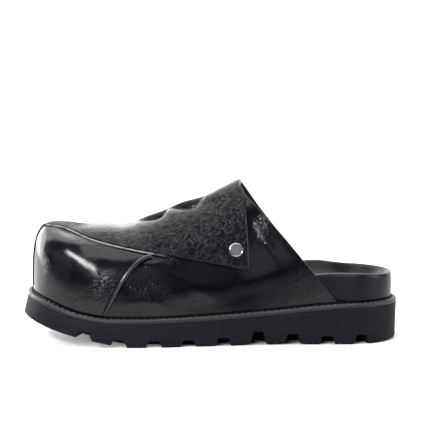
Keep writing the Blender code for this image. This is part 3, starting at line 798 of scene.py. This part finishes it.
Crinkles = namedtuple("Crinkles", "middle reach")
Grain = namedtuple(
    "Grain", "pebbles pebble wrinkles wrinkle stretch turn crease crinkling dulling roughness specular"
)
COAT_WEIGHT = 0.03
COAT_ROUGHNESS = 0.1
WARP_SCALE = 260.0
WARP = 2.0 * MM
PEBBLE_STRETCH = 1.5
PEBBLE_EDGE = 0.3
CREASE_SCALE = 60.0
CREASE_STRETCH = 2.2
CREASE_TURN = -30.0
PATCH_SCALE = 90.0
PATCH_STRETCH = 1.6
PATCH_SWING = 0.25
ZONE_GAIN = 1.6


def pebbled(leather, grain):
    """The heights of rounded pebbles, drawn out along the leather's grain and unevenly shifted."""
    tree = leather.tree
    place = wired(tree, "TexCoord")["Object"]
    warp = wired(tree, "TexNoise", {"Vector": place, "Scale": WARP_SCALE, "Detail": 2.0})["Color"]
    terms = {0: warp, 1: (WARP, WARP, WARP), 2: place}
    shifted = wired(tree, "VectorMath", terms, operation="MULTIPLY_ADD")["Vector"]
    slant = {"Rotation": (0.0, math.radians(grain.turn), 0.0), "Scale": (PEBBLE_STRETCH, 1.0, 1.0)}
    slanted = wired(tree, "Mapping", {"Vector": shifted, **slant}, vector_type="TEXTURE")["Vector"]
    sizes = {"Vector": slanted, "Scale": grain.pebbles}
    edges = wired(tree, "TexVoronoi", sizes, feature="DISTANCE_TO_EDGE")["Distance"]
    return leather.remapped(edges, 0.0, 1.0, start=0.0, end=PEBBLE_EDGE)


def crinkled_leather(name, grain, zones):
    """Black glossy leather with soft creases, and pebbles and wrinkles strongest in some zones."""
    leather = Finish(name, LEATHER_COLOUR, grain.specular)
    leather.inputs["Coat Weight"].default_value = COAT_WEIGHT
    leather.inputs["Coat Roughness"].default_value = COAT_ROUGHNESS
    pebbles = pebbled(leather, grain)
    wrinkles = leather.noise(
        grain.wrinkles, stretch=(grain.stretch, 1.0, 1.0), turn=(0, grain.turn, 0), detail=2.0
    )
    creases = leather.noise(
        CREASE_SCALE, stretch=(CREASE_STRETCH, 1.0, 1.0), turn=(0, CREASE_TURN, 0), detail=2.0, rough=0.5
    )
    patches = leather.noise(
        PATCH_SCALE, stretch=(PATCH_STRETCH, 1.0, 1.0), turn=(0, CREASE_TURN, 0), detail=2.0
    )
    leather.roughened(creases, *grain.roughness)
    dullest, glossiest = grain.specular * (1 - grain.dulling), grain.specular * (1 + grain.dulling)
    shine = leather.remapped(wrinkles, dullest, glossiest, start=0.36, end=0.64)
    leather.tree.links.new(shine, leather.inputs["Specular IOR Level"])
    least, most = grain.crinkling * (1 - PATCH_SWING), grain.crinkling * (1 + PATCH_SWING)
    crinkled = leather.remapped(patches, least, most, start=0.38, end=0.62)
    for zone in zones:
        middle, reach = ([MM * value for value in values] for values in zone)
        terms = {0: fading(leather.tree, middle, reach), 1: ZONE_GAIN, 2: crinkled}
        crinkled = wired(leather.tree, "Math", terms, operation="MULTIPLY_ADD")["Value"]
    leather.bumped(creases, depth=grain.crease * MM)
    for height, depth in ((wrinkles, grain.wrinkle), (pebbles, grain.pebble)):
        terms = {0: height, 1: crinkled}
        relief = wired(leather.tree, "Math", terms, operation="MULTIPLY")["Value"]
        leather.bumped(relief, depth=depth * MM)
    return leather


QUARTER_GRAIN = Grain(
    pebbles=640.0, pebble=0.05, wrinkles=520.0, wrinkle=0.13, stretch=2.6, turn=-40.0,
    crease=0.2, crinkling=0.25, dulling=0.1, roughness=(0.07, 0.12), specular=0.19,
)
QUARTER_CRINKLES = (
    Crinkles((-35.0, -40.0, 67.0), (24.0, 30.0, 10.0)),
    Crinkles((-49.0, -48.0, 46.0), (27.0, 25.0, 14.0)),
    Crinkles((41.0, -28.0, 90.0), (8.0, 30.0, 18.0)),
    Crinkles((76.0, -40.0, 50.0), (20.0, 25.0, 16.0)),
)
quarter_leather = crinkled_leather("quarter_leather", QUARTER_GRAIN, QUARTER_CRINKLES)
lining = Finish("lining_leather", LINING_COLOUR, specular=0.35)
lining.mottled(scale=900.0, detail=3.0, low=0.5, high=0.65, depth=0.08 * MM)

mesh = formed(UPPER_COLUMNS, UPPER_ROWS, upper_form)
raised(mesh, 0.0)
upper = placed("lasted_upper", mesh, quarter_leather, lining)
walled(upper, UPPER_WALL, outward=False, inner_slot=1)
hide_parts("upper")


# The toe panel: smooth glossy leather over the toe's outer side, sewn on under the apron
# seam, with small wrinkles where it was pulled over the last.
APRON_SEAM = (
    Line(-129.0, 90.0),
    Line(-121.0, 89.6),
    Line(-111.0, 87.2),
    Line(-93.0, 81.6),
    Line(-71.0, 76.4),
    Line(-36.0, 70.4),
    Line(-8.0, 64.6),
    Line(28.0, 57.4),
)
Rise = namedtuple("Rise", "height x")
TOE_PANEL_EDGE = (
    Rise(26.0, -84.5),
    Rise(43.8, -75.7),
    Rise(56.8, -67.4),
    Rise(67.0, -57.6),
    Rise(72.5, -46.0),
)
OVERLAY_GAP = 0.5
TOE_PANEL_WALL = 1.2
SEAM_HALF_WIDTH = 1.8
SEAM_STEPS = 300
SECTION_STEPS = 15
HALVINGS = 40
TOE_PANEL_ROWS = 90
TOE_PANEL_COLUMNS = 70
apron_height = curve(APRON_SEAM, "height")


def bisected(miss, low, high):
    """The places between low and high where miss changes sign."""
    low_sign = miss(low) > 0
    for _ in range(HALVINGS):
        middle = (low + high) / 2
        same = (miss(middle) > 0) == low_sign
        low, high = np.where(same, middle, low), np.where(same, high, middle)
    return (low + high) / 2


seam_shares = np.linspace(0, 1, SEAM_STEPS + 1)


def above_apron(around):
    """How far points up the lateral sections are above the apron seam."""
    places = last(LATERAL, seam_shares, around)
    return places[:, 2] - apron_height(places[:, 0])


seam_arounds = bisected(above_apron, 0 * seam_shares, 0 * seam_shares + 1)
section_lines = np.array([
    last(LATERAL, seam_shares, around + 0 * seam_shares)
    for around in np.linspace(0, 1, SECTION_STEPS + 1)
])
section_lengths = np.linalg.norm(np.diff(section_lines, axis=0), axis=2).sum(axis=0)


def seam_around(share):
    """How far up the lateral section the apron seam lies."""
    return np.interp(share, seam_shares, seam_arounds)


def half_seam_around(share):
    """Half the width of the seam's channel, as a share of the section."""
    return SEAM_HALF_WIDTH / np.interp(share, seam_shares, section_lengths)


def half_seam_share(side):
    """Half the width of the seam's channel, as a share of a side's length."""
    return SEAM_HALF_WIDTH / abs(EDGE.run_at_x(side, side.back_x) - EDGE.start_run)


def share_on(line, around, count):
    """Shares of the way back where a lateral line crosses; around depends on the shares."""
    line_x = curve(line, "x")

    def behind(share):
        places = last(LATERAL, share, around(share))
        return places[:, 0] - line_x(places[:, 2])

    return bisected(behind, np.zeros(count), np.ones(count))


def toe_panel_around(share, step):
    """How far up the section a toe panel point is: step 0 is at the welt, 1 at the seam."""
    return step * (seam_around(share) - half_seam_around(share))


def toe_panel_form(across, along):
    """Points of the toe panel: across runs up from the welt, along runs back from the front seam."""
    steps = np.linspace(0, 1, TOE_PANEL_COLUMNS + 1)
    ends = share_on(TOE_PANEL_EDGE, lambda share: toe_panel_around(share, steps), len(steps))
    first = half_seam_share(LATERAL)
    share = first + along * (np.interp(across, steps, ends) - first)
    return last(LATERAL, share, toe_panel_around(share, across))


TOE_GRAIN = Grain(
    pebbles=640.0, pebble=0.07, wrinkles=560.0, wrinkle=0.18, stretch=2.6, turn=-35.0,
    crease=0.4, crinkling=0.12, dulling=0.1, roughness=(0.12, 0.18), specular=0.25,
)
TOE_CRINKLES = (
    Crinkles((-86.0, -45.0, 45.0), (21.0, 30.0, 14.0)),
    Crinkles((-129.0, -28.0, 60.0), (8.0, 30.0, 18.0)),
)
toe_leather = crinkled_leather("toe_leather", TOE_GRAIN, TOE_CRINKLES)
mesh = formed(TOE_PANEL_COLUMNS, TOE_PANEL_ROWS, toe_panel_form)
raised(mesh, OVERLAY_GAP)
toe_panel = placed("toe_panel_leather", mesh, toe_leather)
walled(toe_panel, TOE_PANEL_WALL, outward=True)
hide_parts("toe_panel")


# The vamp: one piece of crinkled leather that covers the toe's top and the inner side, and
# wraps over the outer side as a free lapel, held at its corner by the snap.
LAPEL_EDGE = (
    Rise(56.0, 29.5),
    Rise(90.0, 28.7),
    Rise(112.0, 27.0),
    Rise(126.2, 24.0),
)
TACK_X = -36.0
VAMP_WALL = 1.4
LAPEL_LIFT = 2.6
VAMP_ROWS = 180
VAMP_THIRD = 60
RIDGE_CROWDING = 1.4
MEDIAL_EDGE_BLEND = 0.08
ROUNDING = 0.0001


def lapel_low(share):
    """How far up the lateral section the vamp and its lapel end."""
    return seam_around(share) + half_seam_around(share)


def lapel_around(share, step):
    """How far up the section a lapel point is: step 0 is its lower edge, 1 the ridge."""
    low = lapel_low(share)
    return low + (1 - low) * step


lapel_steps = np.linspace(0, 1, VAMP_THIRD + 1)
lapel_ends = share_on(LAPEL_EDGE, lambda share: lapel_around(share, lapel_steps), len(lapel_steps))


def lapel_face(share, step, proud=0.0):
    """Points on the lapel, lifted free of the quarter towards its corner, and standing proud."""
    around = lapel_around(share, step)
    places = last(LATERAL, share, around)
    free = ease(places[:, 0], TACK_X, RIDGE_BACK_X) * (1 - step)
    return places + (LAPEL_LIFT * free + proud)[:, None] * last_normal(LATERAL, share, around)


def vamp_form(across, along):
    """Points of the vamp: across runs from the lapel's edge to the inner side, along runs back.

    The first two thirds of the columns match over the ridge, so that they weld at the toe.
    """
    seam_start = float(lapel_low(0.0))
    step = 1 - np.clip(1 - 3 * across, 0, 1) ** RIDGE_CROWDING
    lateral = lapel_face(along * np.interp(step, lapel_steps, lapel_ends), step)
    down = np.clip(3 * across - 1, 0, 1) ** RIDGE_CROWDING
    further = np.clip(3 * across - 2, 0, 1)
    around = np.where(further > 0, seam_start * (1 - further), 1 - (1 - seam_start) * down)
    first = half_seam_share(MEDIAL) * ease(seam_start - around, 0.0, MEDIAL_EDGE_BLEND)
    medial = last(MEDIAL, first + along * (1 - first), around)
    return np.where((3 * across <= 1 + ROUNDING)[:, None], lateral, medial)


VAMP_GRAIN = Grain(
    pebbles=660.0, pebble=0.26, wrinkles=560.0, wrinkle=0.36, stretch=2.8, turn=-40.0,
    crease=0.4, crinkling=0.85, dulling=0.6, roughness=(0.07, 0.1), specular=0.075,
)
VAMP_CRINKLES = (Crinkles((20.0, -45.0, 67.0), (18.0, 25.0, 8.0)),)
vamp_leather = crinkled_leather("vamp_leather", VAMP_GRAIN, VAMP_CRINKLES)
mesh = formed(3 * VAMP_THIRD, VAMP_ROWS, vamp_form)
raised(mesh, OVERLAY_GAP)
vamp = placed("wrap_vamp", mesh, vamp_leather)
walled(vamp, VAMP_WALL, outward=True)
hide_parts("vamp")


# The lapel's edge stitches: a fine row of black thread, sewn a little inside the lapel's lower
# and back edges.
HEM_INSET = 2.6
HEM_PITCH = 3.0
HEM_STITCH_LENGTH = 2.1
HEM_STITCH_THICKNESS = 0.5
HEM_START = 0.03
HEM_TOP_STEP = 0.97
HEM_POINTS = 60
SIDE_LENGTH = 150.0
SIDE_OUT = (0.0, -1.0, 0.3)
SHOE_HEIGHT = 130.0
BLACK_THREAD_COLOUR = (0.003, 0.003, 0.003, 1.0)


def spaced(points, pitch, reach=0.3):
    """Places along a line at an even pitch, each with the way on."""
    lengths = np.linalg.norm(np.diff(points, axis=0), axis=1)
    runs = np.concatenate([[0.0], np.cumsum(lengths)])
    marks = np.arange(pitch / 2, runs[-1], pitch)
    here, ahead, behind = (
        np.column_stack([np.interp(at, runs, values) for values in points.T])
        for at in (marks, marks + reach, marks - reach)
    )
    return zip(here, ahead - behind)


black_thread = Finish("black_thread", BLACK_THREAD_COLOUR, specular=0.15)
black_thread.mottled(scale=2500.0, detail=1.0, low=0.3, high=0.5)

lapel_depth = float(section_lengths[-1]) * (1 - float(seam_around(1.0)))
corner_step = HEM_INSET / lapel_depth
corner_share = np.interp(corner_step, lapel_steps, lapel_ends)
inset_share = HEM_INSET / SIDE_LENGTH
tack_line = (Rise(0.0, TACK_X), Rise(SHOE_HEIGHT, TACK_X))
tack_share = share_on(tack_line, seam_around, 1)[0]
lower_share = np.linspace(tack_share + HEM_START, corner_share - inset_share, HEM_POINTS)
back_step = np.linspace(corner_step, HEM_TOP_STEP, HEM_POINTS)
back_share = np.interp(back_step, lapel_steps, lapel_ends) - inset_share
lapel_proud = OVERLAY_GAP + VAMP_WALL
hem_lines = (
    lapel_face(lower_share, corner_step + 0 * lower_share, lapel_proud),
    lapel_face(back_share, back_step, lapel_proud),
)
mesh = bmesh.new()
for line in hem_lines:
    for place, along in spaced(line, HEM_PITCH):
        add_stitch(mesh, place, along, SIDE_OUT, HEM_STITCH_LENGTH, HEM_STITCH_THICKNESS)
lapel_stitches = placed("lapel_stitches", mesh, black_thread)


# The apron bead: a thin leather cord that fills the seam between toe panel and vamp from the
# toe's front to the bar tack, with pale patches painted on its colour as highlights.
APRON_CORD_RADIUS = 0.75
APRON_CORD_PROUD = 1.1
APRON_CORD_START = 0.012
CORD_STEPS = 120
LINE_SMOOTHINGS = 4
BEAD_DARK = (0.02, 0.02, 0.021, 1.0)
BEAD_HIGHLIGHT = (0.12, 0.12, 0.12, 1.0)


def cord_piece(name, points, radius, leather):
    """A round cord through points, on the shoe's body."""
    line = bpy.data.curves.new(name, "CURVE")
    line.dimensions = "3D"
    line.bevel_depth = radius * MM
    line.bevel_resolution = 3
    line.use_fill_caps = True
    spline = line.splines.new("POLY")
    spline.points.add(len(points) - 1)
    for target, point in zip(spline.points, points):
        target.co = (*(point * MM), 1.0)
    spline.use_smooth = True
    piece = bpy.data.objects.new(name, line)
    bpy.context.scene.collection.objects.link(piece)
    line.materials.append(leather.material)
    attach(piece, "root")
    return piece


def seam_line(shares, arounds, proud):
    """Points along a lateral line that stand proud of the upper, dressed smooth."""
    line = last(LATERAL, shares, arounds) + proud * last_normal(LATERAL, shares, arounds)
    for _ in range(LINE_SMOOTHINGS):
        line[1:-1] = (line[:-2] + 2 * line[1:-1] + line[2:]) / 4
    return line


# Painted highlight: the bead's colour turns pale in noisy patches, standing in for glints of light.
bead_leather = Finish("bead_leather", BEAD_HIGHLIGHT, specular=0.7)
highlight_patches = bead_leather.mottled(scale=160.0, detail=3.0, low=0.22, high=0.45)
bead_leather.tinted(highlight_patches, BEAD_DARK, BEAD_HIGHLIGHT)

bead_shares = np.linspace(APRON_CORD_START, tack_share, CORD_STEPS)
bead_line = seam_line(bead_shares, seam_around(bead_shares), OVERLAY_GAP + APRON_CORD_PROUD)
apron_cord = cord_piece("apron_bead", bead_line, APRON_CORD_RADIUS, bead_leather)
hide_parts("apron_cord")


# The front binding: a matte black cord over the seam down the toe's front, where toe panel and
# vamp meet, from the welt up to the apron bead.
FRONT_CORD_RADIUS = 1.2
FRONT_CORD_PROUD = 0.85
FRONT_CORD_START = 0.03
BINDING_COLOUR = (0.004, 0.004, 0.004, 1.0)
binding = Finish("matte_binding", BINDING_COLOUR, specular=0.2)
binding.mottled(scale=1200.0, detail=2.0, low=0.5, high=0.7, depth=0.08 * MM)

rises = np.linspace(FRONT_CORD_START, float(seam_around(0.0)), CORD_STEPS // 3)
front_out = last_normal(LATERAL, 0 * rises, rises) + last_normal(MEDIAL, 0 * rises, rises)
front_out /= np.linalg.norm(front_out, axis=1)[:, None]
front_line = last(LATERAL, 0 * rises, rises) + (OVERLAY_GAP + FRONT_CORD_PROUD) * front_out
front_line = np.vstack([front_line, bead_line[:1]])
cord_piece("toe_front_bead", front_line, FRONT_CORD_RADIUS, binding)


# The toe panel's rolled edge: glossy leather turned over a cord, where the panel's back edge
# lies on the quarter.
ROLLED_EDGE_RADIUS = 1.7
ROLLED_EDGE_PROUD = 0.8 * ROLLED_EDGE_RADIUS
Roll = namedtuple("Roll", "step x height")
ROLLED_EDGE_LINE = (
    Roll(0.0, -82.0, 27.6),
    Roll(1.0, -74.2, 43.0),
    Roll(2.0, -66.3, 55.8),
    Roll(3.0, -57.6, 65.4),
    Roll(3.7, -51.4, 69.2),
    Roll(4.3, -46.0, 70.6),
)


def on_side(x, height):
    """Shares and arounds of lateral points at places in side view."""
    least, most = np.zeros(len(x)), np.ones(len(x))

    def around_at(share):
        return bisected(lambda around: last(LATERAL, share, around)[:, 2] - height, least, most)

    share = bisected(lambda s: last(LATERAL, s, around_at(s))[:, 0] - x, least, most)
    return share, around_at(share)


roll_leather = Finish("roll_leather", LEATHER_COLOUR, specular=0.45)
roll_leather.mottled(scale=240.0, detail=3.0, low=0.16, high=0.3)

steps = np.linspace(0.0, ROLLED_EDGE_LINE[-1].step, CORD_STEPS // 2)
roll_x, roll_height = (curve(ROLLED_EDGE_LINE, column)(steps) for column in ("x", "height"))
edge_line = seam_line(*on_side(roll_x, roll_height), OVERLAY_GAP + ROLLED_EDGE_PROUD)
rolled_edge = cord_piece("toe_panel_roll", edge_line, ROLLED_EDGE_RADIUS, roll_leather)
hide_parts("rolled_edge")


# The throat edge: a satin bead that finishes the upper's open edge, from the welt on the outer
# side over the ridge and down the inner side.
THROAT_EDGE_RADIUS = 0.9
THROAT_EDGE_SHARE = 0.9964
THROAT_EDGE_START = 0.02
SATIN_COLOUR = (0.012, 0.012, 0.0125, 1.0)
satin_edge = Finish("satin_edge", SATIN_COLOUR)
satin_edge.mottled(scale=300.0, detail=3.0, low=0.3, high=0.5)

throat_arounds = np.linspace(THROAT_EDGE_START, 1, CORD_STEPS)
throat_share = np.full(CORD_STEPS, THROAT_EDGE_SHARE)
throat_lines = []
for side in (LATERAL, MEDIAL):
    inside = -UPPER_WALL / 2 * last_normal(side, throat_share, throat_arounds)
    throat_lines.append(last(side, throat_share, throat_arounds) + inside)
throat_line = np.vstack([throat_lines[0], throat_lines[1][-2::-1]])
cord_piece("throat_edge", throat_line, THROAT_EDGE_RADIUS, satin_edge)


# The footbed's edge: a hair-fine satin bead along the rim's outer side, where the wrapping
# leather is folded over the cork.
FOOTBED_EDGE_X = 70.0
FOOTBED_EDGE_STEP = 1.1
FOOTBED_EDGE_RADIUS = 0.35
rim_from = EDGE.run_at_x(LATERAL, FOOTBED_EDGE_X)
rim_to = EDGE.run_at_x(MEDIAL, FOOTBED_EDGE_X) + EDGE.total
rim_row = WALL_END_ROW + FOOTBED_EDGE_STEP / FOOTBED_RIM[-1].step * RIM_ROWS
rim_line = footbed_ring(np.full(CORD_STEPS, rim_row), np.linspace(rim_from, rim_to, CORD_STEPS))
cord_piece("footbed_edge", rim_line, FOOTBED_EDGE_RADIUS, satin_edge)


# The lapel's edge: the round glossy edge of its leather, along the lapel's lower and back
# sides.
LAPEL_EDGE_RADIUS = 0.7
LAPEL_EDGE_START = 0.02
LAPEL_EDGE_TOP_STEP = 0.99
edge_proud = OVERLAY_GAP + VAMP_WALL / 2
hem_shares = np.linspace(tack_share + LAPEL_EDGE_START, lapel_ends[0], CORD_STEPS, endpoint=False)
edge_steps = np.linspace(0, LAPEL_EDGE_TOP_STEP, CORD_STEPS)
edge_shares = np.interp(edge_steps, lapel_steps, lapel_ends)
lapel_line = np.vstack([
    lapel_face(hem_shares, 0 * hem_shares, edge_proud),
    lapel_face(edge_shares, edge_steps, edge_proud),
])
cord_piece("lapel_edge", lapel_line, LAPEL_EDGE_RADIUS, quarter_leather)


# The apron's stitches: two short rows of waxed thread over the toe's top, one on each side of
# the bead.
TOE_STITCH_PITCH = 2.4
TOE_STITCH_LENGTH = 1.6
TOE_STITCH_THICKNESS = 0.55
TOE_STITCH_SHARES = (0.03, 0.22)
TOE_STITCH_POINTS = 60
TOE_STITCH_SEAMS_OFF = (-1.9, 1.9)
TOE_OUT = (0.0, -0.6, 0.8)
toe_shares = np.linspace(*TOE_STITCH_SHARES, TOE_STITCH_POINTS)
mesh = bmesh.new()
for seams_off in TOE_STITCH_SEAMS_OFF:
    row_around = seam_around(toe_shares) + seams_off * half_seam_around(toe_shares)
    row = seam_line(toe_shares, row_around, lapel_proud)
    for place, along in spaced(row, TOE_STITCH_PITCH):
        add_stitch(mesh, place, along, TOE_OUT, TOE_STITCH_LENGTH, TOE_STITCH_THICKNESS)
toe_stitches = placed("toe_stitches", mesh, waxed_thread)


# The bar tack: crowded bars of black thread, sewn across the seam to lock it where the lapel
# comes free.
TACK_BARS = 8
TACK_BARS_AHEAD = 4.8
TACK_SPACING = 1.3
TACK_BAR_LENGTH = 6.5
TACK_BAR_THICKNESS = 1.3
TACK_PROUD = 0.2
TACK_LEANS = ((-0.1, -0.3, 1.0), (0.35, -0.3, 1.0))
bar_shares = tack_share + (np.arange(TACK_BARS) - TACK_BARS_AHEAD) * TACK_SPACING / SIDE_LENGTH
bars = seam_line(bar_shares, seam_around(bar_shares), lapel_proud + TACK_PROUD)
mesh = bmesh.new()
for i, place in enumerate(bars):
    lean = TACK_LEANS[i % len(TACK_LEANS)]
    add_stitch(mesh, place, lean, SIDE_OUT, TACK_BAR_LENGTH, TACK_BAR_THICKNESS)
bar_tack = placed("bar_tack", mesh, black_thread)


# The snap: a stamped metal cap with a flat brushed face and a rounded bright rim, riveted
# through the lapel's lower corner.
SNAP_X = 20.2
SNAP_HEIGHT = 73.8
SNAP_SIDES = 48
SnapPoint = namedtuple("SnapPoint", "radius height")
SNAP_PROFILE = (
    SnapPoint(0.0, 0.0),
    SnapPoint(5.2, 0.0),
    SnapPoint(5.7, 0.3),
    SnapPoint(5.85, 0.8),
    SnapPoint(5.7, 1.3),
    SnapPoint(5.3, 1.75),
    SnapPoint(4.95, 1.85),
    SnapPoint(4.65, 1.75),
    SnapPoint(4.4, 1.35),
    SnapPoint(0.0, 1.4),
)
SNAP_FACE_RADIUS = 4.5
SNAP_RIM_COLOUR = (0.24, 0.24, 0.245, 1.0)
SNAP_FACE_COLOUR = (0.088, 0.088, 0.092, 1.0)
snap_rim = Finish("snap_rim_metal", SNAP_RIM_COLOUR)
snap_rim.inputs["Metallic"].default_value = 1.0
snap_rim.mottled(scale=700.0, detail=2.0, low=0.18, high=0.3)
snap_metal = Finish("snap_metal", SNAP_FACE_COLOUR)
snap_metal.inputs["Metallic"].default_value = 1.0
snap_metal.mottled(scale=1200.0, detail=2.0, low=0.32, high=0.5, depth=0.02 * MM)

shares, arounds = on_side(np.array([SNAP_X]), np.array([SNAP_HEIGHT]))
snap_steps = (arounds - lapel_low(shares)) / (1 - lapel_low(shares))
snap_out = Vector(last_normal(LATERAL, shares, arounds)[0])
snap_place = Vector(lapel_face(shares, snap_steps, lapel_proud + GAP)[0])
mesh = bmesh.new()
profile = [mesh.verts.new((point.radius, 0, point.height)) for point in SNAP_PROFILE]
edges = [mesh.edges.new(pair) for pair in zip(profile, profile[1:])]
bmesh.ops.spin(
    mesh, geom=profile + edges, cent=(0, 0, 0), axis=(0, 0, 1),
    angle=2 * math.pi, steps=SNAP_SIDES, use_merge=True,
)
bmesh.ops.remove_doubles(mesh, verts=mesh.verts, dist=0.001)
bmesh.ops.recalc_face_normals(mesh, faces=mesh.faces)
for face in mesh.faces:
    face.material_index = int(max(v.co.xy.length for v in face.verts) > SNAP_FACE_RADIUS)
stand = Matrix.Translation(snap_place * MM) @ snap_out.to_track_quat("Z", "Y").to_matrix().to_4x4()
bmesh.ops.transform(mesh, matrix=stand @ Matrix.Scale(MM, 4), verts=mesh.verts)
snap = placed("snap_cap_metal", mesh, snap_metal, snap_rim, sharp=25.0)
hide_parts("snap_cap")
